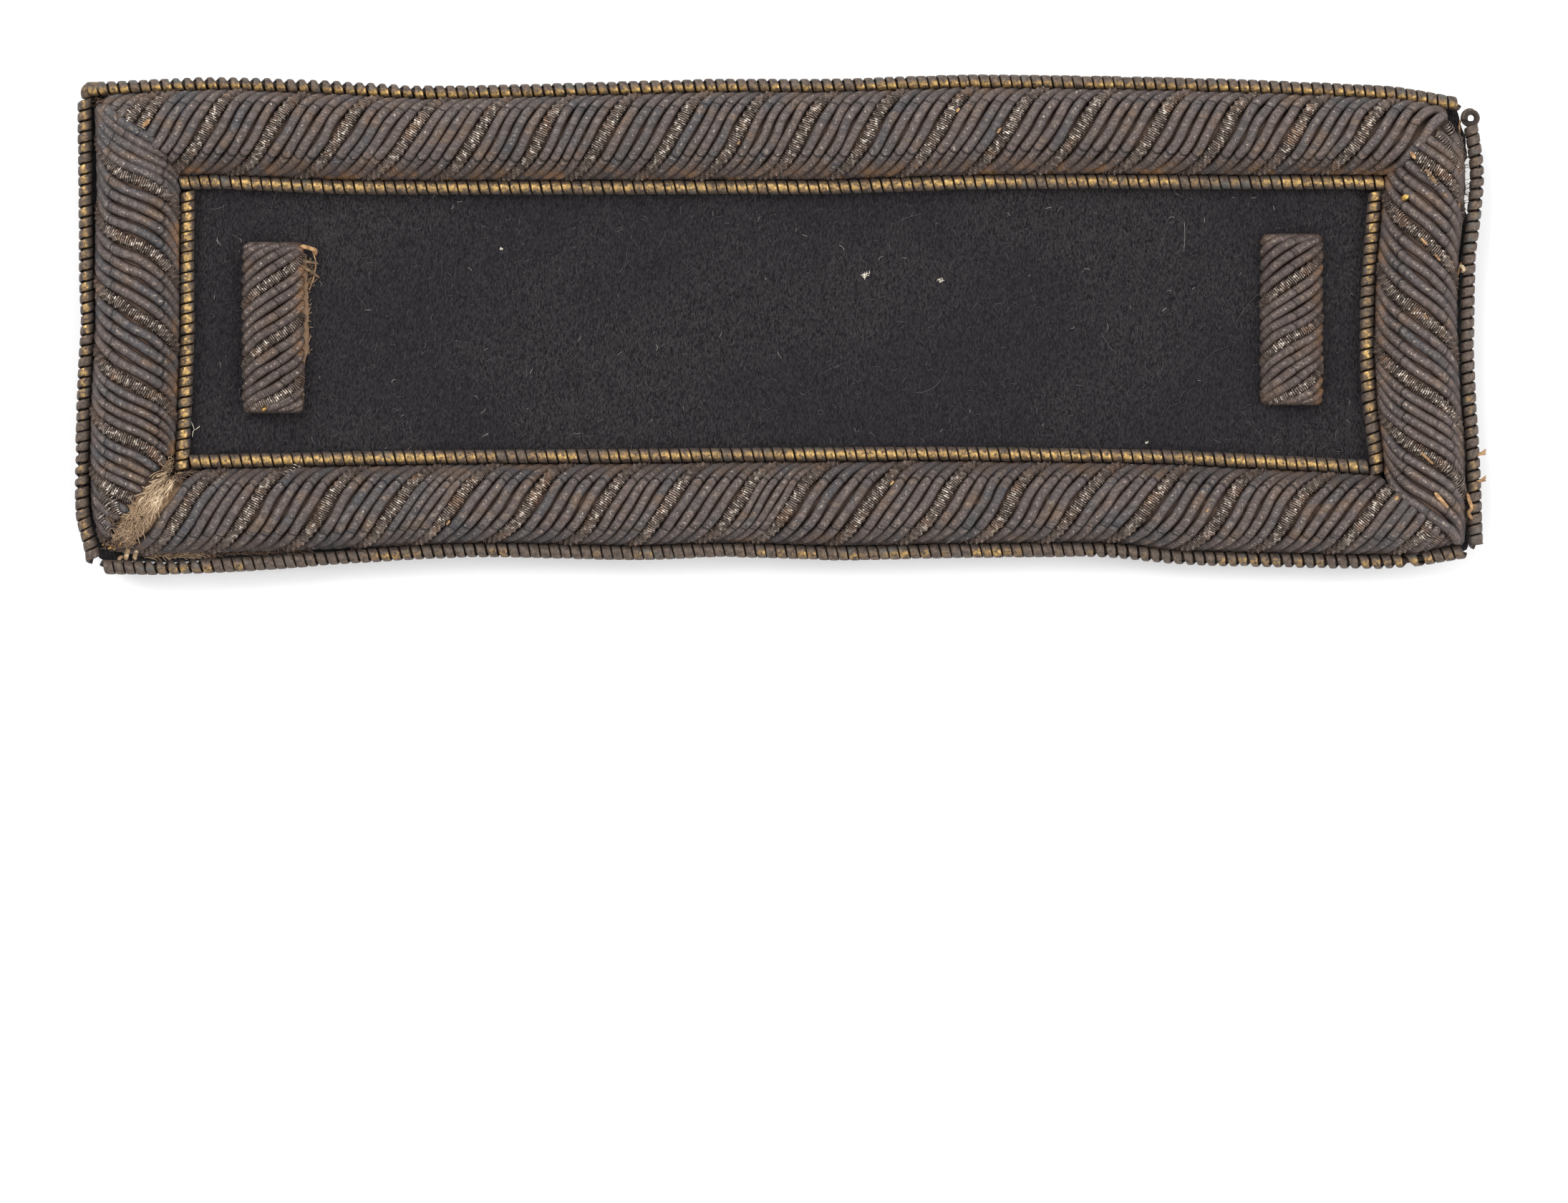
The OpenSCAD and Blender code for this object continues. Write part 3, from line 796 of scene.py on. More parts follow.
SMOOTH_RADIUS = 0.395
SMOOTH_SIDES = 8
SMOOTH_STEP = 0.3
ROUGH_RADIUS = 0.495
ROUGH_PROUD = 0.06
# How much wider a rough strand is at its feet than over the crown
ROUGH_FLARE = 0.24
ROUGH_PITCH = 0.155
ROUGH_WIRE = 0.06
ROUGH_CORNERS = 5.28
# The dark core's share of a rough strand's radius
ROUGH_CORE = 0.62
# Points of a whole strand's middle line, and the fewest points and the least length of any strand
STRAND_POINTS = 100
FEWEST_POINTS = 8
SHORTEST = 0.8
# Section of the rough strands' wire: shares of its half thickness outward and sideways
ROUGH_SECTION = np.array([(0.95, 0.6), (-0.9, 1.25), (-0.9, -1.25), (0.95, -0.6)])
FOOT_SHARE = 0.03
FOOT_TAIL = 0.06
# How far a strand stays from the mitre at the start and the end of each side: a distance, and how
# much more it is for each millimetre inward. A side whose strands run on whole is not trimmed.
WHOLE = (-9.0, 0.0)
BUTTED = (0.0, 0.0)
START_TRIM = [BUTTED, BUTTED, WHOLE, WHOLE]
END_TRIM = [WHOLE, WHOLE, BUTTED, (-0.3, 0.27)]
# How much the trimmed ends differ, and how far strands stay from the sides that meet each start and end
TRIM_SPREAD = 0.16
START_CLEAR = [1.75, 3.8, 1.75, 1.75]
END_CLEAR = [2.4, 1.75, 1.75, 1.75]
# How much more a strand runs along the side at its feet than at the crown, and how far the
# shoulders of the border stand out over its feet
FOOT_CURVE = 0.17
SHOULDER = 0.36
# How far each side's inner feet are stained
FEET_STAIN = [1.0, 0.93, 0.82, 0.97]
# How much further each side's strands lean out over its outer coil
OVERHANG = [0.32, 0.06, 0.0, 0.06]


def shoulder(turn):
    """How far a shoulder stands out beyond a dome, outward or inward, at an angle from its crown."""
    share = np.abs(turn) / FOOT_ANGLE
    return SHOULDER * np.sign(turn) * np.sin(0.85 * math.pi * share)


def crossing(side, place, sink, seed):
    """A strand's middle line over the border, its outward directions and its shares of the crossing."""
    run = np.linspace(-FOOT_TAIL, 1 + FOOT_TAIL, STRAND_POINTS)
    share = np.clip(run, FOOT_SHARE, 1 - FOOT_SHARE)
    turn = FOOT_ANGLE * (2 * share - 1)
    swing = 1 - 2 * run
    swing = swing * (1 - FOOT_CURVE) + swing ** 3 * FOOT_CURVE
    along = place + LEAN[side] * STRAND_RUN[side] / 2 * swing * (1 + 0.05 * sway(place / 8, 21 + side))
    along = along + 0.1 * sway(along / 6 + 2.5 * share, 11 + side) + 0.055 * sway(share * 9, seed)
    along = along + 0.1 * sway(along / 7, 31 + side) * np.sin(2 * math.pi * share)
    at = along / RUN_OF[side]
    width = width_at(side, at)
    inward = outer_foot(side, at) + width * across_at(turn) + shoulder(turn)
    inward = inward - OVERHANG[side] * np.sin(math.pi * np.clip(-turn / FOOT_ANGLE, 0, 1))
    surface = on_board(side, along, inward, WORK_Z + (BORDER_HEIGHT - 0.05) * rise_at(turn))
    flat_axis = width / 2 / math.sin(FOOT_ANGLE)
    high_axis = BORDER_HEIGHT / (1 - math.cos(FOOT_ANGLE))
    flat = (np.sin(turn) / flat_axis)[:, None] * INWARD_WAY[side]
    out = np.column_stack([flat, np.cos(turn) / high_axis])
    out = unit(out)
    sink = sink + 0.03 * (1 + sway(share * 5, seed + 1))
    middle = surface - out * np.reshape(sink, (-1, 1))
    slip = np.random.default_rng(seed).normal(0, TRIM_SPREAD)
    near, near_more = START_TRIM[side]
    far, far_more = END_TRIM[side]
    kept = along - inward > near + near_more * inward + slip
    kept &= RUN_OF[side] - along - inward > far + far_more * inward + slip
    kept &= (along > START_CLEAR[side]) & (RUN_OF[side] - along > END_CLEAR[side])
    return middle[kept], out[kept], share[kept]


def drawn_in(at, radius, least):
    """How wide a strand is along its length, as a share that falls to a least one at its ends."""
    return np.minimum(1, np.sqrt(np.minimum(at, at[-1] - at) / radius) * (1 - least) + least)


def add_smooth(pile, line, out, share, tone, radius):
    """A smooth strand: a tube, a little uneven, whose ends are drawn in."""
    if len(line) < FEWEST_POINTS:
        return
    line, out, share, at = evenly(line, SMOOTH_STEP, out, share)
    if at[-1] < SHORTEST:
        return
    grow = drawn_in(at, radius, 0.55)
    grow = grow * (1 + 0.02 * sway(at * 2.4 + 40 * tone, 7) + 0.004 * sway(at * 7 + 90 * tone, 8))
    section = ring(SMOOTH_SIDES)[None] * (radius * grow)[:, None, None]
    corner = np.arange(SMOOTH_SIDES)[None]
    around = corner * 2 * math.pi / SMOOTH_SIDES
    out, beside = across_line(line, out)
    upward = np.cos(around) * out[:, 2:] + np.sin(around) * beside[:, 2:]
    pile.tube(line, out, section, 0, tone=tone, length=at[:, None], turn=corner / SMOOTH_SIDES,
              crest=np.maximum(np.cos(around), upward), inner=share[:, None])


def add_rough(pile, line, out, share, tone, radius):
    """A rough strand: wire wound on a square former, round a dark core."""
    if len(line) < FEWEST_POINTS:
        return
    fine, fine_out, fine_share, at = evenly(line, ROUGH_PITCH / ROUGH_CORNERS, out, share)
    if at[-1] < SHORTEST:
        return
    fine_out, beside = across_line(fine, fine_out)
    dice = np.random.default_rng(int(tone * 1e6))
    phase = np.arange(len(fine)) * 2 * math.pi / ROUGH_CORNERS
    flare = 1 + ROUGH_FLARE * np.clip(np.abs(fine_share - 0.5) / 0.25 - 1, 0, 1)
    reach = (radius - ROUGH_WIRE) * drawn_in(at, radius, 0.6) * flare
    reach = reach * (1 + dice.normal(0, 0.025, len(fine)))
    spoke = np.cos(phase)[:, None] * fine_out + np.sin(phase)[:, None] * beside
    middle = fine + spoke * reach[:, None]
    crest = np.maximum((spoke * fine_out).sum(1), spoke[:, 2])
    wound = np.arange(len(fine)) / ROUGH_CORNERS + 1000 * tone
    pile.tube(middle, spoke, ROUGH_SECTION * ROUGH_WIRE, 0, wound=wound[:, None], crest=crest[:, None],
              inner=fine_share[:, None])
    core, core_out, _ = evenly(line, CORE_STEP, out)
    pile.tube(core, core_out, ring(6) * (radius * ROUGH_CORE), 1)


def settle_strands(fine, coarse, kind, name, node):
    """Makes the smooth and the rough strands of a CAD node."""
    smooth = fine.piece(f"{kind}smooth_strands_{name}", [SMOOTH])
    rough = coarse.piece(f"{kind}rough_strands_{name}", [ROUGH, CORE], smooth=False)
    for piece in (smooth, rough):
        settle(piece, "bullion_wire", node)


def strand_places(side):
    """Places of a side's rough strands, and places and sizes of its smooth ones, past its butted end."""
    rough = list(ROUGH_AT[side])
    if START_TRIM[side] is BUTTED:
        rough = [rough[0] - 2 * GROUP_PITCH, rough[0] - GROUP_PITCH] + rough
    else:
        rough = rough + [rough[-1] + GROUP_PITCH, rough[-1] + 2 * GROUP_PITCH]
    smooth = []
    for a, b in zip(rough, rough[1:]):
        size = min(1.0, (b - a) / GROUP_PITCH)
        smooth += [(a + (b - a) * share, size) for share in SMOOTH_SHARES]
    extra = EXTRA_ROUGH[side]
    smooth = [strand for strand in smooth if all(abs(strand[0] - other) > 0.5 for other in extra)]
    return rough + extra, smooth + [(place, 1.0) for place in WHOLE_STRANDS[side]]


def make_borders():
    """The smooth and the rough strands of each side's border."""
    for side in range(4):
        dice = np.random.default_rng(70 + side)
        rough, smooth = strand_places(side)
        fine = Pile(cell_shape=0.25)
        for i, (place, size) in enumerate(smooth):
            radius = SMOOTH_RADIUS * size
            middle, out, share = crossing(side, place, radius, 1000 * side + i)
            add_smooth(fine, middle, out, share * FEET_STAIN[side], dice.uniform(0, 1), radius)
        coarse = Pile(cell_shape=0.1)
        for i, place in enumerate(rough):
            strand = crossing(side, place, ROUGH_RADIUS - ROUGH_PROUD, 5000 + 100 * side + i)
            add_rough(coarse, *strand, dice.uniform(0, 1), ROUGH_RADIUS)
        name = SIDE_NAMES[side]
        settle_strands(fine, coarse, "", name, f"border_{name}")


# Rank bars

BAR_PITCH = 0.87
BAR_SMOOTH_RADIUS = 0.375
BAR_ROUGH_RADIUS = 0.44
# Middles of the rough strands, up from the middle of each bar
BAR_ROUGH = {"left": [3.4, -0.9, -5.3], "right": [2.9, -1.4, -5.4]}
# Tones of each bar's smooth strands
BAR_TONES = {"left": (-1.8, -0.9), "right": (-1.4, -0.3)}
# How softly a strand bends along a bar's end, and how far past it the last ones would have gone
BAR_BEND = 0.22
BAR_PAST = 1.3
# Points of a strand's middle line over a bar
BAR_POINTS = 70


def bar_crossing(node, place, sink, seed):
    """A strand's middle line over a rank bar, rising to the right at the bar's slope."""
    low, high = size_of(node)
    middle = (low + high) / 2
    width, length = high[0] - low[0], high[1] - low[1]
    share = np.linspace(0, 1, BAR_POINTS)
    turn = FOOT_ANGLE * (2 * share - 1)
    wanted = place + width * math.tan(BAR_SLOPE) * (share - 0.5)
    wanted = wanted + 0.12 * sway(place / 3 + 2 * share, 33 + len(node)) + 0.05 * sway(share * 7, seed)
    limit = length / 2 - sink * 0.9
    over = BAR_BEND * np.log1p(np.exp((np.abs(wanted) - limit) / BAR_BEND))
    up_board = np.sign(wanted) * (np.abs(wanted) - over)
    past = np.clip((np.abs(up_board) - length / 2 + 1.2) / 1.2, 0, 1)
    height = (high[2] - low[2]) * (1 - 0.35 * past ** 2) - 0.35 * np.minimum(over, 1)
    drawn_in = 1 - 0.09 * past ** 3
    z = low[2] + height * rise_at(turn)
    across = middle[0] + ((across_at(turn) - 0.5) * width + 0.5 * shoulder(turn)) * drawn_in
    surface = np.column_stack([across, middle[1] + up_board, z])
    out = unit(np.column_stack([np.sin(turn) * 0.9, 0.5 * np.sign(up_board) * past, np.cos(turn)]))
    kept = np.abs(wanted) < length / 2 + BAR_PAST
    line = surface - out * (sink + 0.02 * (1 + sway(share * 5, seed + 1)))[:, None]
    return line[kept], out[kept], share[kept]


def make_bars():
    """The smooth and the rough strands of both rank bars."""
    for name, rough in BAR_ROUGH.items():
        node = f"rank_bar_{name}"
        low, high = size_of(node)
        reach = (high[1] - low[1] + (high[0] - low[0]) * math.tan(BAR_SLOPE)) / 2 + 1
        dice = np.random.default_rng(90 + len(name))
        smooth = []
        for above, below in zip([reach + BAR_PITCH] + rough, rough + [-reach - BAR_PITCH]):
            between = round((above - below) / BAR_PITCH)
            smooth += [above + (below - above) * k / between for k in range(1, between)]
        fine = Pile(cell_shape=0.5)
        for i, place in enumerate(smooth):
            strand = bar_crossing(node, place, BAR_SMOOTH_RADIUS, 8000 + i)
            add_smooth(fine, *strand, dice.uniform(*BAR_TONES[name]), BAR_SMOOTH_RADIUS)
        coarse = Pile(cell_shape=0.2)
        for i, place in enumerate(rough):
            strand = bar_crossing(node, place, BAR_ROUGH_RADIUS, 8100 + i)
            add_rough(coarse, *strand, dice.uniform(0, 1), BAR_ROUGH_RADIUS)
        settle_strands(fine, coarse, "bar_", name, node)


# Cloths

# How much further than in the CAD model the wool reaches under each side's coil, with one stretch
# of the right side where it is worn back: first and last share of the side
WOOL_TUCK = [0.3, 0.25, 0.3, 0.35]
WORN_BACK = (0.115, 0.257)
WORN_BACK_BY = 0.45
# How little the wool's corners are cut off, as it shows at the worn ones
WOOL_CUT = 0.3
# Columns and rows of each cloth's grid
LINEN_CELLS = (100, 34)
WOOL_CELLS = (220, 76)
# How wide a cloth's rim is, and how far its upper face falls and its lower face rises there
RIM_WIDTH = 0.35
RIM_FALL = 0.18
RIM_RISE = 0.1


def wool_edge(side, share):
    """Distance inward to the wool's edge."""
    tuck = WOOL_TUCK[side] + 0.05 * sway(share * 60, 200 + side)
    if side in (TOP, LEFT):
        tuck = tuck + 0.1
    if side == RIGHT:
        tuck = tuck + 0.1 * np.clip((WORN_BACK[0] - share) / 0.03, 0, 1)
        first, last = WORN_BACK
        worn = np.clip(np.minimum(share - first, last - share) / 0.02, 0, 1)
        tuck = tuck - worn * (WORN_BACK_BY + 0.06 * sway(share * 150, 210))
    return outer_foot(side, share) - CLOTH_MARGIN - tuck


def linen_edge(side, share):
    """Distance inward to the linen's edge."""
    return outer_foot(side, share) - CLOTH_MARGIN + BACKING_INSET


def slab(name, node, inward, cut, columns, rows, relief, material):
    """A sheet of cloth: a grid between the board's edges, closed underneath and round its rim."""
    low, high = size_of(node)
    u, v = np.meshgrid(np.linspace(0, 1, columns + 1), np.linspace(0, 1, rows + 1), indexing="ij")
    left, right = -HALF_X + inward(LEFT, 1 - v), HALF_X - inward(RIGHT, 1 - v)
    bottom, top = -HALF_Y + inward(BOTTOM, u), HALF_Y - inward(TOP, u)
    x, y = left + (right - left) * u, bottom + (top - bottom) * v
    beside = np.minimum(x - left, right - x)
    above = np.minimum(y - bottom, top - y)
    total = beside + above
    share = np.where(total > 0, np.minimum(beside, above) / np.maximum(total, 1e-9), 0)
    pull = 0.5 * np.clip(cut - total, 0, None) * (1 - 2 * share)
    x = x + pull * np.where(x - left < right - x, 1, -1)
    y = y + pull * np.where(y - bottom < top - y, 1, -1)
    rim = np.clip(np.minimum(beside, above) / RIM_WIDTH, 0, 1)
    over = high[2] - RIM_FALL * (1 - rim) ** 2
    if relief:
        over = over + relief(x, y)
    under = low[2] + RIM_RISE * (1 - rim) ** 2
    points = np.concatenate([np.column_stack([x.ravel(), y.ravel(), z.ravel()]) for z in (over, under)])
    grid = np.arange(x.size).reshape(x.shape)
    face = np.stack([grid[:-1, :-1], grid[1:, :-1], grid[1:, 1:], grid[:-1, 1:]], axis=-1).reshape(-1, 4)
    loop = np.concatenate([grid[:-1, 0], grid[-1, :-1], grid[:0:-1, -1], grid[0, :0:-1]])
    after = np.roll(loop, -1)
    wall = np.column_stack([loop + x.size, after + x.size, after, loop])
    mesh = bpy.data.meshes.new(name)
    faces = np.concatenate([face, face[:, ::-1] + x.size, wall])
    mesh.from_pydata((points * MM).tolist(), [], faces.tolist())
    before = np.roll(loop, 1)
    area = 0.5 * abs(np.sum(x.ravel()[before] * y.ravel()[loop] - x.ravel()[loop] * y.ravel()[before]))
    return made_piece(name, mesh, [material]), area * MM * MM


def wool_relief(x, y):
    """The wool waves a little under the needlework."""
    return -0.03 + 0.02 * np.sin(x * 0.9 + np.sin(y)) * np.sin(y * 1.3)


def lay_cloth(name, node, slot, material, inward, cut, cells, relief):
    """A cloth as a sheet that rests on the other cloth."""
    piece, area = slab(name, node, inward, cut, *cells, relief, material)
    settle(piece, slot, node)


def make_cloths():
    """The linen backing and the wool, which rest on each other."""
    lay_cloth("linen_backing", "backing_cloth", "backing_linen", LINEN, linen_edge, CORNER_CUT, LINEN_CELLS,
              None)
    lay_cloth("wool_field", "field_cloth", "field_wool", WOOL, wool_edge, WOOL_CUT, WOOL_CELLS,
              wool_relief)


# Fibres, threads and loose wire

HAIR_POINTS = 5
HAIR_SIDES = 4
THREAD_STEP = 0.12
THREAD_SIDES = 6
# Pitch of purl that has come apart, steps in each of its turns, and half thickness of its wire
SPRING_PITCH = 0.2
SPRING_STEPS = 9
SPRING_WIRE = 0.042


def hair(pile, start, length, heading, bend, thick, lift, kind, tone):
    """One bent hair lying on the work."""
    t = np.linspace(0, 1, HAIR_POINTS)
    angle = heading + bend * (t - 0.5)
    step = length / (HAIR_POINTS - 1)
    x = start[0] + np.concatenate([[0], np.cumsum(np.cos(angle[1:]) * step)])
    y = start[1] + np.concatenate([[0], np.cumsum(np.sin(angle[1:]) * step)])
    line = np.column_stack([x, y, surface_at(x, y) + lift * np.sin(math.pi * t)])
    pile.tube(line, upright(line), ring(HAIR_SIDES) * thick, kind, tone=tone)


def over_work(x, y):
    """Whether a place lies within the lines of the outer coils."""
    spot = np.array([x, y])
    for side in range(4):
        offset = spot - START_OF[side]
        if offset @ INWARD_WAY[side] < float(coil_line(side, offset @ ALONG_WAY[side] / RUN_OF[side])):
            return False
    return True


def fluff(pile, seed, spot, reach, slant, count, length, heading, spread, thick, lift, tones):
    """Many hairs over a patch of the work that reaches so far along its slant and across it."""
    dice = np.random.default_rng(seed)
    for _ in range(count):
        a, b = dice.uniform(-1, 1, 2) * reach
        start = (spot[0] + a * math.cos(slant) - b * math.sin(slant),
                 spot[1] + a * math.sin(slant) + b * math.cos(slant))
        long = length * dice.uniform(0.5, 1.3)
        way = heading + dice.normal(0, spread)
        bend = dice.normal(0, 1.0)
        wide = dice.uniform(0.7, 1.3)
        high = dice.uniform(0, 1)
        tone = dice.uniform(*tones)
        if over_work(start[0] + long * math.cos(way), start[1] + long * math.sin(way)):
            hair(pile, start, long, way, bend, thick * wide, lift * high, 0, tone)


def smooth_path(spots, count=24):
    """Smooth line through a few places, each given as x, y and a height above the work."""
    spots = np.array(spots, float)
    at = np.linspace(0, len(spots) - 1, count)
    line = read_at(at, np.arange(len(spots)), spots)
    for _ in range(count // 5):
        line[1:-1] = (line[:-2] + 2 * line[1:-1] + line[2:]) / 4
    line[:, 2] += surface_at(line[:, 0], line[:, 1])
    for _ in range(3):
        line[1:-1, 2] = (line[:-2, 2] + 2 * line[1:-1, 2] + line[2:, 2]) / 4
    return line


def thread(pile, spots, thick, kind, count=24):
    """A thread through a few places, drawn in at its ends."""
    line, at = evenly(smooth_path(spots, count), THREAD_STEP)
    grow = np.clip(np.minimum(at, at[-1] - at) / thick, 0.35, 1)
    section = ring(THREAD_SIDES)[None] * (thick * grow)[:, None, None]
    pile.tube(line, upright(line), section, kind, tone=0.5, length=at[:, None],
              turn=np.arange(THREAD_SIDES)[None] / THREAD_SIDES)


def loose_spring(pile, seed, spots, radius):
    """Purl that has come apart: an uneven spring of thin wire."""
    dice = np.random.default_rng(seed)
    line, at = evenly(smooth_path(spots), SPRING_PITCH / SPRING_STEPS)
    turns = at / SPRING_PITCH + 0.5 * sway(at * 1.5, seed)
    phase = 2 * math.pi * turns
    reach = radius * (1 + 0.22 * sway(at * 2.5, seed + 1))
    way = unit(np.gradient(line, axis=0))
    beside = unit(np.cross(way, UP))
    up = np.cross(beside, way)
    spoke = np.cos(phase)[:, None] * up + np.sin(phase)[:, None] * beside
    wander = 0.06 * sway(at * 4 + dice.uniform(0, 9), seed + 2)
    middle = line + spoke * reach[:, None] + beside * wander[:, None]
    pile.tube(middle, spoke, ring(4) * SPRING_WIRE, 0, wound=turns[:, None], crest=np.cos(phase)[:, None],
              inner=0.5)


# Hairs of the nap, how many of them are long, and how far from the board's edges they start
NAP_HAIRS = 3600
LONG_HAIRS = 60
NAP_INSET = 8
# Flecks of lint: x, y, size
LINT_FLECKS = [(6.2, 3.7, 0.17), (11.8, 3.3, 0.12), (-20.4, 5.6, 0.06), (26.9, -8.6, 0.07)]
HAIRS_IN_FLECK = 14
# Single white hairs: x, y, length, heading
WHITE_HAIRS = [(-42.9, -7.7, 0.7, 1.9), (-42.9, -7.7, 0.5, 0.6), (-42.95, -7.7, 0.5, -1.8)]


def make_nap():
    """Loose hairs and lint on the wool."""
    dice = np.random.default_rng(5)
    pile = Pile()
    reach_x, reach_y = HALF_X - NAP_INSET, HALF_Y - NAP_INSET
    for i in range(NAP_HAIRS):
        start = (dice.uniform(-reach_x, reach_x), dice.uniform(-reach_y, reach_y))
        length = dice.uniform(0.2, 0.6) if i > LONG_HAIRS else dice.uniform(1.2, 3.0)
        hair(pile, start, length, dice.normal(1.1, 0.8), dice.normal(0, 1.2), dice.uniform(0.007, 0.012),
             dice.uniform(0.0, 0.1), 0, dice.uniform(0, 1) ** 1.8)
    for x, y, size in LINT_FLECKS:
        for _ in range(HAIRS_IN_FLECK):
            a, b = dice.normal(0, 0.5, 2) * size
            heading = dice.uniform(0, 6.3)
            tone = dice.uniform(0.3, 1)
            hair(pile, (x + a, y + b), size * 1.8, heading, 2.0, 0.02, 0.08, 1, tone)
    for x, y, length, heading in WHITE_HAIRS:
        hair(pile, (x, y), length, heading, 0.4, 0.03, 0.1, 1, 0.7)
    settle(pile.piece("wool_nap", [HAIR, LINT]), "field_wool")


# Padding

def bare_share(x, y):
    """How bare the padding lies at the worn bottom left corner, and how low down towards its point."""
    across = x + HALF_X - (y + HALF_Y)
    along = x + HALF_X + y + HALF_Y
    return np.exp(-((across - 0.45) / 1.6) ** 4) * (along < 15), np.clip((9.5 - along) / 5, 0, 1)


# How far the padding's top lies under the top of the strands, and its edges inside their feet
PAD_DEPTH = 0.48
PAD_CLEAR = 0.6
# Lines of points along a padding, the distance between their points, and the padding's gap at a mitre
PAD_LINES = 15
PAD_STEP = 0.3
PAD_GAP = 0.02


def pad_inward(side, place, turn):
    """Distance inward to the padding at an angle from its crown."""
    share = place / RUN_OF[side]
    return outer_foot(side, share) + PAD_CLEAR + (width_at(side, share) - 2 * PAD_CLEAR) * across_at(turn)


def pad_line(side, turn):
    """A line of points along the padding, from mitre to mitre, at an angle from its crown."""
    run = RUN_OF[side]
    first, last = 4.0, 4.0
    for _ in range(4):
        first, last = pad_inward(side, first, turn), pad_inward(side, run - last, turn)
    place = np.linspace(first + PAD_GAP, run - last - PAD_GAP, int(run / PAD_STEP))
    spots = on_board(side, place, pad_inward(side, place, turn), WORK_Z)
    bare, _ = bare_share(spots[:, 0], spots[:, 1])
    fluffy = 0.06 * sway(place * 2.1 + 5 * turn, 300 + side) + 0.05 * sway(place * 6 + turn * 9, 320 + side)
    spots[:, 2] += (BORDER_HEIGHT - PAD_DEPTH + fluffy + 0.15 * bare) * rise_at(turn)
    return spots


def make_padding():
    """Cotton padding under each border, matted and swollen where it shows at the worn corner."""
    for side in range(4):
        turns = np.linspace(-FOOT_ANGLE, FOOT_ANGLE, PAD_LINES)
        over = np.stack([pad_line(side, turn) for turn in turns], axis=1)
        under = over[:, ::-1][:, 1:-1].copy()
        under[..., 2] = WORK_Z
        rings = np.concatenate([over, under], axis=1)
        n, m = rings.shape[:2]
        faces = ring_faces(n, m)[2][:, [0, 3, 2, 1]].tolist()
        faces += [list(range(m)), list(range((n - 1) * m, n * m))[::-1]]
        if side in (TOP, RIGHT):
            faces = [face[::-1] for face in faces]
        name = f"cotton_padding_{SIDE_NAMES[side]}"
        points = rings.reshape(-1, 3)
        piece = padding_piece(name, points, faces, *bare_share(points[:, 0], points[:, 1]))
        settle(piece, "padding_cotton", f"padding_{SIDE_NAMES[side]}")


def padding_piece(name, points, faces, bare, low):
    """A closed pad with how bare and how low it lies kept at its points."""
    mesh = bpy.data.meshes.new(name)
    mesh.from_pydata((points * MM).tolist(), [], faces)
    keep_value(mesh, "bare", np.broadcast_to(bare, len(points)))
    keep_value(mesh, "low", np.broadcast_to(low, len(points)))
    return made_piece(name, mesh, [COTTON])


# Where the felt under the left bar stops showing, up from the bar's middle, and how far it is
# tucked in below that
FELT_END = -1.6
FELT_TUCK = 0.34
# Points round the felt, and how bare and how low its finish takes it to lie
FELT_POINTS = 120
FELT_BARE = 0.45
FELT_LOW = 0.72


def make_bar_felt():
    """Felt under the left rank bar, which shows frayed at the bar's right edge."""
    low, high = size_of("bar_pad_left")
    low = low + [0.5, 0.6, 0]
    high = high - [0.14, 0.6, 0.1]
    turn = np.arange(FELT_POINTS) * 2 * math.pi / FELT_POINTS
    middle, half = (low + high) / 2, (high - low) / 2
    square = 1 / (np.abs(np.cos(turn)) ** 9 + np.abs(np.sin(turn)) ** 9) ** (1 / 9)
    square = square * (1 - 0.05 * np.abs(sway(turn * 14, 61)))
    tuck = FELT_TUCK * np.clip(np.cos(turn), 0, 1) * np.clip((FELT_END - half[1] * np.sin(turn)) / 0.8, 0, 1)
    levels = [(0.92, low[2]), (1.0, low[2] + 0.12), (0.98, high[2] - 0.25), (0.9, high[2]), (0.5, high[2])]
    rings = []
    for shrink, z in levels:
        rings.append(np.column_stack([middle[0] + half[0] * np.cos(turn) * square * shrink - tuck,
                                      middle[1] + half[1] * np.sin(turn) * square * shrink,
                                      np.full(FELT_POINTS, z)]))
    n, m = len(rings), FELT_POINTS
    faces = ring_faces(n, m)[2].tolist()
    faces += [list(range(m))[::-1], list(range((n - 1) * m, n * m))]
    piece = padding_piece("bar_felt_left", np.concatenate(rings), faces, FELT_BARE, FELT_LOW)
    settle(piece, "padding_cotton", "bar_pad_left")


# Wear

# Kinds of thread, in the order of their materials
TAN, YELLOW, DARK, PALE, BROWN = range(5)
# Tan core threads and bare wire that show between the strands: x, y, length, heading, half thickness
TAN_DASHES = [
    (-46.2, 14.65, 0.75, 0.8, 0.17), (46.2, 12.3, 0.7, -0.95, 0.15), (47.5, 10.75, 1.3, -0.95, 0.17),
    (48.6, 9.35, 0.7, -0.85, 0.15), (47.0, 6.0, 0.7, -0.8, 0.11), (48.0, 4.85, 0.6, -0.8, 0.1),
    (47.1, 0.55, 0.5, -0.8, 0.1), (13.0, 15.6, 0.4, 0.9, 0.12), (16.0, 14.1, 0.5, 0.9, 0.1),
    (8.2, -11.6, 0.4, 0.9, 0.1), (-29.1, -14.9, 0.4, 0.9, 0.1), (-24.2, -14.5, 0.4, 0.9, 0.1),
    (47.2, -9.8, 1.3, -0.75, 0.1), (48.3, -12.9, 1.6, -0.85, 0.16), (45.0, -12.7, 0.5, 0.9, 0.16),
    (-3.0, 13.2, 0.35, 0.9, 0.08), (31.2, -13.6, 0.35, 0.9, 0.08), (-11.2, -16.2, 0.35, 0.9, 0.08),
]
BRASS_DASHES = [
    (45.65, 9.25, 0.75, 0.6, 0.24), (-48.7, -16.35, 0.35, 0.2, 0.09),
    (-48.2, -16.05, 0.3, 1.2, 0.08),
]
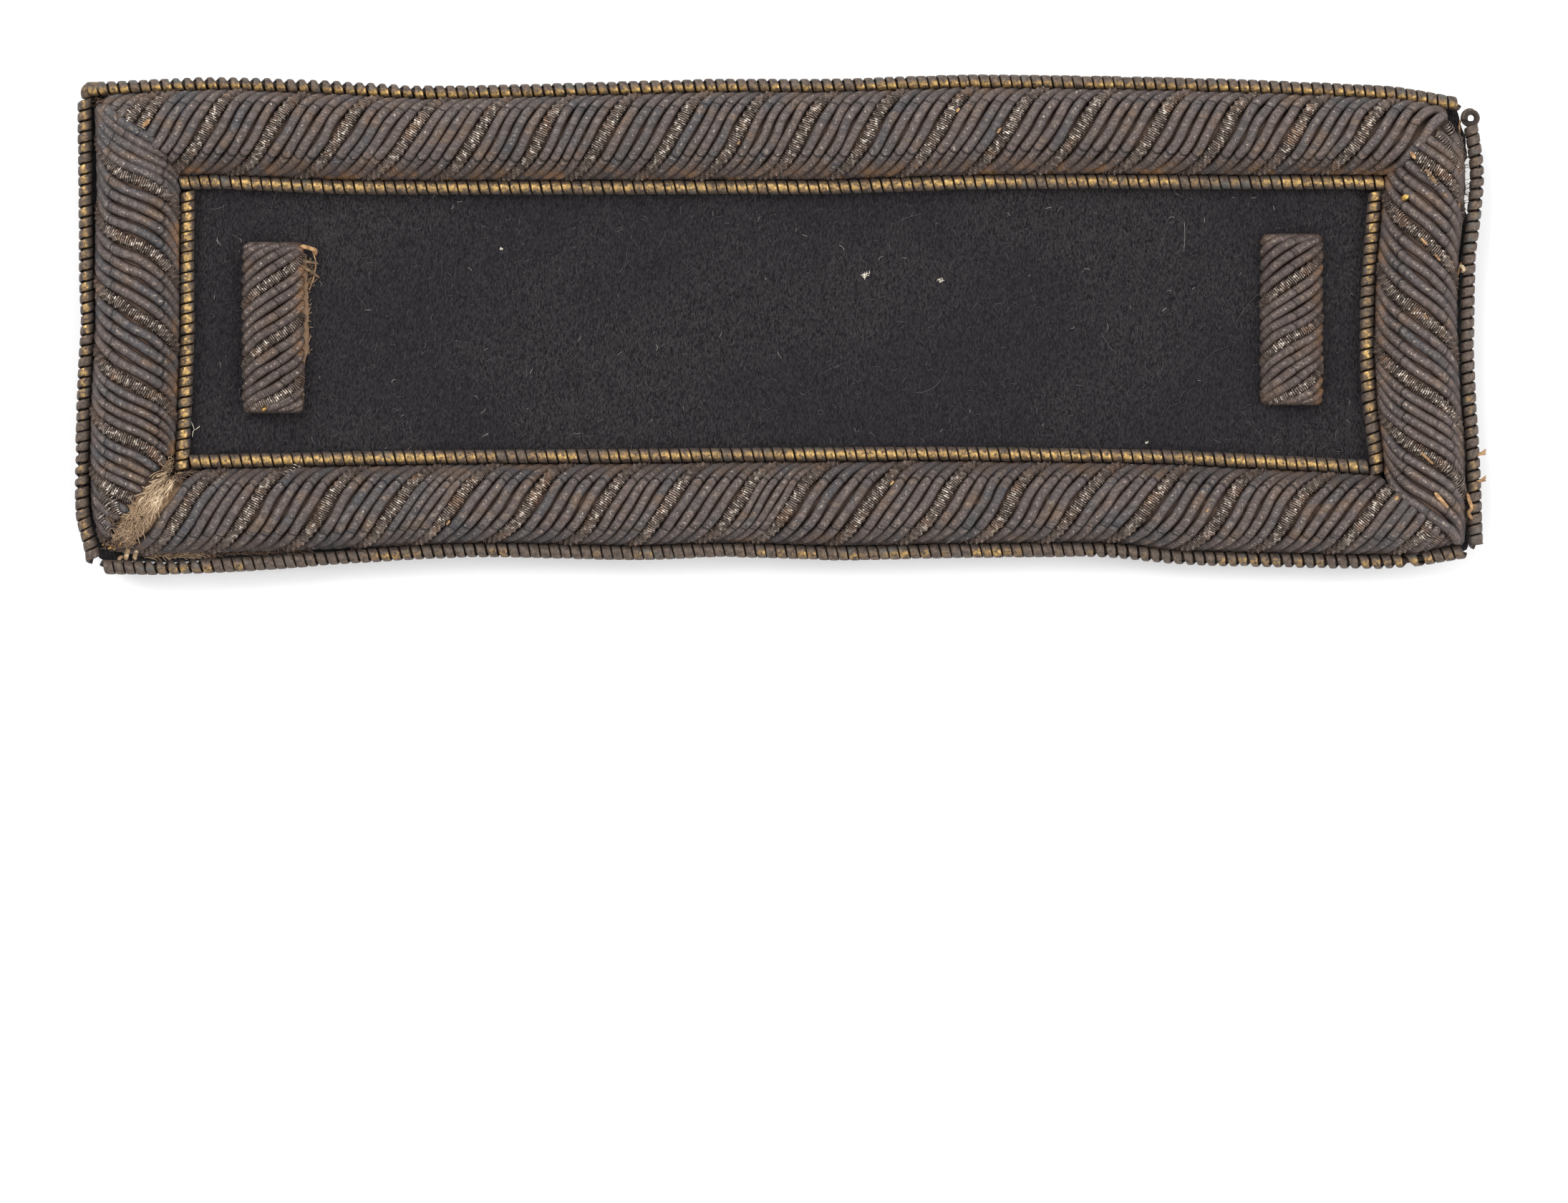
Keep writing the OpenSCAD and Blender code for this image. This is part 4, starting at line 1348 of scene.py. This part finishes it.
# Threads that show where the wire has gone: kind, half thickness, points of its line, and the places
# that it runs through
WORN_THREADS = [
    (TAN, 0.11, 50, [(49.75, 13.6, 0.1), (49.7, 12.0, 0.15), (49.8, 10.4, 0.1), (49.65, 8.8, 0.15),
                     (49.75, 7.8, 0.1)]),
    (TAN, 0.08, 24, [(50.1, 15.4, 0.2), (49.8, 14.8, 0.2), (49.8, 13.8, 0.1)]),
    (DARK, 0.34, 60, [(50.2, 5.5, 0.25), (50.12, 3.0, 0.3), (49.95, 0.5, 0.25), (49.85, -2.5, 0.3),
                      (49.9, -5.6, 0.2)]),
    (TAN, 0.12, 24, [(49.95, 4.6, 0.5), (49.8, 4.2, 0.6), (49.55, 3.5, 0.3)]),
    (PALE, 0.17, 24, [(49.72, 4.3, 0.7), (49.95, 4.25, 0.95), (50.1, 4.0, 0.95), (49.85, 3.85, 0.7)]),
    (PALE, 0.2, 24, [(-47.9, -17.25, 0.35), (-47.85, -16.9, 0.6), (-47.7, -16.45, 0.3)]),
    (PALE, 0.18, 24, [(-47.25, -17.25, 0.3), (-47.2, -16.85, 0.6), (-47.0, -16.45, 0.3)]),
    (PALE, 0.15, 24, [(-48.45, -17.25, 0.4), (-48.3, -17.05, 0.6), (-48.1, -16.9, 0.4)]),
    (YELLOW, 0.13, 24, [(-49.6, -16.1, 0.2), (-49.3, -16.0, -0.6), (-49.0, -16.1, -0.7)]),
    (YELLOW, 0.12, 24, [(-49.2, -16.35, -0.2), (-48.9, -16.3, -0.1), (-48.6, -16.4, -0.2)]),
    (TAN, 0.05, 30, [(-34.2, 5.4, 0.7), (-33.95, 4.7, 0.5), (-34.0, 4.1, 0.35), (-34.2, 3.2, 0.25),
                     (-34.5, 2.5, 0.3)]),
    (YELLOW, 0.13, 24, [(-37.9, -6.3, 1.2), (-37.7, -6.2, 1.5), (-37.5, -6.05, 1.45)]),
    (TAN, 0.17, 24, [(-35.1, 5.75, 1.1), (-34.5, 5.65, 0.85), (-33.95, 5.45, 0.5), (-34.0, 5.1, 0.35)]),
    (BROWN, 0.11, 24, [(-35.0, 4.7, 0.95), (-34.4, 4.6, 0.65), (-33.8, 4.5, 0.35)]),
    (BROWN, 0.11, 24, [(-35.0, 4.3, 0.95), (-34.3, 3.9, 0.5), (-33.7, 3.45, 0.25)]),
    (TAN, 0.15, 40, [(50.3, -12.3, 0.8), (50.45, -12.9, 1.0), (50.68, -13.4, 1.12), (50.35, -13.8, 0.9),
                     (50.7, -14.25, 1.1)]),
]
# Purl that has come apart: places, and the radius of its turns
SPRINGS = [
    ([(48.6, 14.7, -0.1), (49.3, 13.6, -0.1), (49.9, 12.3, -0.15)], 0.38),
    ([(48.0, 13.9, -0.1), (48.9, 12.6, -0.1), (49.6, 11.3, -0.1)], 0.34),
    ([(44.7, 8.7, -0.15), (45.4, 7.9, -0.1), (46.3, 6.7, -0.1)], 0.34),
    ([(46.8, 11.4, -0.1), (47.4, 10.9, -0.05), (48.0, 9.9, -0.05)], 0.3),
    ([(48.3, -10.0, -0.1), (49.2, -10.9, -0.05), (50.0, -12.1, -0.1)], 0.42),
    ([(48.7, -10.5, -0.1), (49.3, -11.4, 0.0), (49.7, -12.6, -0.1)], 0.34),
    ([(48.4, -5.7, -0.1), (49.1, -6.6, -0.1), (49.8, -7.7, -0.15)], 0.34),
    ([(-49.9, -11.3, -0.1), (-49.2, -12.6, -0.1), (-48.6, -13.8, -0.1)], 0.36),
    ([(-50.0, -12.8, -0.15), (-49.5, -14.0, -0.1), (-48.8, -15.2, -0.1)], 0.36),
    ([(-49.2, -11.9, -0.1), (-48.6, -12.9, -0.05), (-48.2, -13.9, -0.1)], 0.32),
    ([(46.3, -16.1, -0.15), (47.0, -15.5, -0.1), (47.6, -15.0, -0.1)], 0.34),
    ([(47.0, -16.3, -0.15), (47.7, -15.9, -0.1), (48.2, -15.3, -0.1)], 0.32),
    ([(-47.6, 15.3, -0.15), (-46.9, 15.9, -0.15), (-46.0, 16.6, -0.15)], 0.34),
    ([(-48.6, 15.2, -0.15), (-48.0, 15.6, -0.1), (-47.3, 16.3, -0.1)], 0.3),
    ([(-36.4, -11.3, -0.05), (-35.4, -10.5, 0.05), (-34.3, -9.95, 0.1)], 0.4),
]


# Patches of loose fibres: seed, middle, reach along the slant and across it, slant, count, length,
# heading, spread of the headings, half thickness, lift, and lowest and highest tone
MITRE_SLANT = math.atan2(4.8, 3.5)
BROWN_TONES = (0, 0.9)
PALE_FLUFF = [
    (701, (-45.2, -12.0), (1.5, 0.6), MITRE_SLANT, 170, 1.1, 4.1, 0.4, 0.03, 0.2, (0.5, 1)),
    (702, (-46.9, -14.3), (1.5, 0.65), MITRE_SLANT, 170, 0.8, 4.0, 0.7, 0.03, 0.2, (0.1, 0.6)),
    (703, (-47.6, -15.4), (0.7, 0.8), MITRE_SLANT, 90, 0.6, 3.9, 1.1, 0.03, 0.15, (0, 0.35)),
    (704, (-44.3, -10.3), (0.7, 0.6), MITRE_SLANT, 120, 0.6, 0.8, 1.0, 0.03, 0.5, (0, 0.5)),
    (705, (-44.3, -16.85), (2.4, 0.18), 0.02, 150, 0.5, 0.1, 0.5, 0.03, 0.2, (0.1, 0.8)),
    (706, (50.35, -13.6), (0.15, 1.0), 0, 60, 0.5, 1.6, 0.5, 0.028, 0.3, (0, 0.6)),
    (707, (-34.55, 0.3), (0.1, 2.6), 0, 60, 0.25, 1.4, 0.7, 0.026, 0.3, (0, 0.5)),
    (708, (49.9, 4.1), (0.14, 0.16), 0, 40, 0.3, 1.0, 1.5, 0.03, 0.25, (0.8, 1)),
    (709, (-34.4, 3.7), (0.22, 1.1), 0, 60, 0.35, 1.5, 0.9, 0.022, 0.4, (0, 0.4)),
]
BROWN_FLUFF = [
    (721, (-48.4, 16.4), (2.2, 0.35), 0.08, 90, 0.6, 0.1, 0.4, 0.028, 0.1, BROWN_TONES),
    (726, (-47.9, 15.7), (1.5, 0.5), 0.5, 90, 0.6, 0.4, 0.6, 0.026, 0.12, BROWN_TONES),
    (722, (-49.5, -13.0), (0.5, 2.6), 0.1, 110, 0.7, -1.3, 0.7, 0.028, 0.15, BROWN_TONES),
    (723, (-38.6, -16.6), (4.0, 0.15), 0.05, 190, 0.6, 0.1, 0.4, 0.03, 0.15, BROWN_TONES),
    (724, (46.8, -16.4), (2.2, 0.5), 0.1, 90, 0.6, 0.5, 0.9, 0.026, 0.1, BROWN_TONES),
    (725, (-48.6, -16.2), (0.9, 0.3), 0.1, 60, 0.5, 0.5, 1.2, 0.028, 0.15, BROWN_TONES),
    (727, (-43.5, -10.85), (0.9, 0.3), 0.3, 110, 0.6, 0.4, 0.7, 0.03, 0.45, BROWN_TONES),
    (728, (50.0, 10.9), (0.12, 2.1), 0, 40, 0.6, 0.2, 0.7, 0.02, 0.3, BROWN_TONES),
]


def dash(pile, x, y, length, heading, thick, kind):
    """A short thread that shows between strands, sunk at its ends."""
    dx, dy = 0.5 * length * math.cos(heading), 0.5 * length * math.sin(heading)
    spots = [(x - dx, y - dy, -0.5 * thick), (x, y, -0.2 * thick), (x + dx, y + dy, -0.5 * thick)]
    thread(pile, spots, thick, kind, count=8)


def make_worn_threads():
    """Core threads, brass ends and stitching that show where the wire has gone."""
    pile = Pile()
    for row in TAN_DASHES:
        dash(pile, *row, TAN)
    for row in BRASS_DASHES:
        dash(pile, *row, YELLOW)
    loop = [(-48.8 + 0.24 * math.cos(a), 16.5 + 0.24 * math.sin(a), 0.15) for a in np.linspace(-1.2, 3.6, 9)]
    thread(pile, loop, 0.04, YELLOW, 40)
    for kind, thick, count, spots in WORN_THREADS:
        thread(pile, spots, thick, kind, count)
    for y in (-9.55, -11.5):
        for rise in (0.1, 0.28, 0.45):
            thread(pile, [(50.9, y, 0.9), (51.35, y + 0.4 * rise, 0.9), (51.7, y + rise, 0.8)], 0.07, TAN)
    settle(pile.piece("worn_threads", [TAN_THREAD, BRASS, DARK_THREAD, PALE_THREAD, BROWN_THREAD]),
           "padding_cotton")


def make_loose_wire():
    """Purl that has come unwound near the corners."""
    pile = Pile()
    for i, (spots, radius) in enumerate(SPRINGS):
        loose_spring(pile, 600 + i, spots, radius)
    settle(pile.piece("unwound_purl", [ROUGH]), "bullion_wire")


def make_frayed_cotton():
    """Cotton and brown fibres at the corners, the left bar and along the lower edge."""
    looks = [("frayed_cotton", COTTON_FIBRE, PALE_FLUFF), ("matted_fibres", BROWN_FIBRE, BROWN_FLUFF)]
    for name, material, patches in looks:
        pile = Pile()
        for patch in patches:
            fluff(pile, *patch)
        settle(pile.piece(name, [material]), "padding_cotton")


def make_coil_ends():
    """The right coil's first turn, stood up as a ring, and the cut ends of the coils' wire."""
    pile = Pile()
    count = np.linspace(0, 1.35, 40)
    swing = 2 * math.pi * count + 1.2
    out = np.column_stack([np.cos(swing), np.sin(swing), 0 * swing])
    middle = np.array([50.52, 15.2, WORK_Z + 0.35]) + out * 0.47 + np.outer(count, [0.05, -0.1, 0.4])
    pile.tube(middle, out, WIRE_SECTION * [0.21, 0.3], 0,
              wear=0.15, face=WIRE_FACE[None], turns=3.0, gold=0.1)
    bend = np.linspace(0, 1, 12)[:, None]
    first, corner, last = np.array([(-49.6, 17.35, 0.62), (-51.1, 17.6, 0.66), (-50.75, 16.7, 0.3)])
    line = first * (1 - bend) ** 2 + 2 * corner * bend * (1 - bend) + last * bend ** 2 + [0, 0, WORK_Z]
    pile.tube(line, upright(line), ring(8) * 0.38, 0, wear=0.35, face=1.0, turns=9.0, gold=0.5)
    tooth = np.array([(50.7, -15.75, 2.9), (51.0, -15.9, 2.9), (51.3, -15.95, 2.9), (51.5, -16.0, 2.9)])
    section = WIRE_SECTION[None] * np.array([(0.1, 0.3), (0.1, 0.24), (0.08, 0.14), (0.03, 0.03)])[:, None]
    pile.tube(tooth, upright(tooth), section, 0, wear=0.2, face=WIRE_FACE[None], turns=5.0, gold=0.2)
    settle(pile.piece("coil_ends", [COIL]), "coil_wire")


make_coils()
make_borders()
make_bars()
make_cloths()
make_nap()
make_padding()
make_bar_felt()
make_worn_threads()
make_loose_wire()
make_frayed_cotton()
make_coil_ends()


# Floor, light and camera

# How far the floor reaches each way and lies under the board, in metres
FLOOR_REACH = 1.2
FLOOR_DROP = 0.00005
ROOM_LIGHT = 0.8


def make_floor():
    """The pale ground that the photograph shows."""
    f = Finish("pale_floor")
    base = f.mix(f.noise(6.0, 3.0), (246, 246, 247), (250, 250, 250))
    material = f.finish(base, 0.8, 0.0, f.noise(0.6, 2.0), 0.01, 0.2)
    mesh = bpy.data.meshes.new("floor")
    corners = [(x * FLOOR_REACH, y * FLOOR_REACH, 0) for x, y in ((-1, -1), (1, -1), (1, 1), (-1, 1))]
    mesh.from_pydata(corners, [], [(0, 1, 2, 3)])
    floor = made_piece("floor", mesh, [material])
    floor.location.z = -FLOOR_DROP


def make_light(name, place, size, power):
    """A round lamp that faces the board."""
    lamp = bpy.data.lights.new(name, "AREA")
    lamp.shape = "DISK"
    lamp.size = size
    lamp.energy = power
    made = bpy.data.objects.new(name, lamp)
    bpy.context.scene.collection.objects.link(made)
    made.location = place
    made.rotation_euler = (-made.location).to_track_quat("-Z", "Y").to_euler()


def make_world():
    """Even white light from all sides."""
    world = bpy.data.worlds.new("soft_room")
    world.use_nodes = True
    world.node_tree.nodes["Background"].inputs["Color"].default_value = (1, 1, 1, 1)
    world.node_tree.nodes["Background"].inputs["Strength"].default_value = ROOM_LIGHT
    bpy.context.scene.world = world


def make_camera():
    """The photograph looks straight down, with the board above the middle of its frame."""
    frame_width = 114.76
    distance = 600.0
    camera = bpy.data.cameras.new("camera")
    camera.sensor_width = 36.0
    camera.lens = camera.sensor_width * distance / frame_width
    camera.clip_end = 10
    made = bpy.data.objects.new("camera", camera)
    bpy.context.scene.collection.objects.link(made)
    made.location = (0.314 * MM, -20.25 * MM, (distance + 3) * MM)
    bpy.context.scene.camera = made


make_floor()
make_light("key", (-0.40, 0.40, 0.55), 0.7, 5.3)
make_light("fill", (0.5, -0.1, 0.5), 0.7, 3.6)
make_world()
make_camera()
bpy.context.scene.view_settings.view_transform = "Standard"
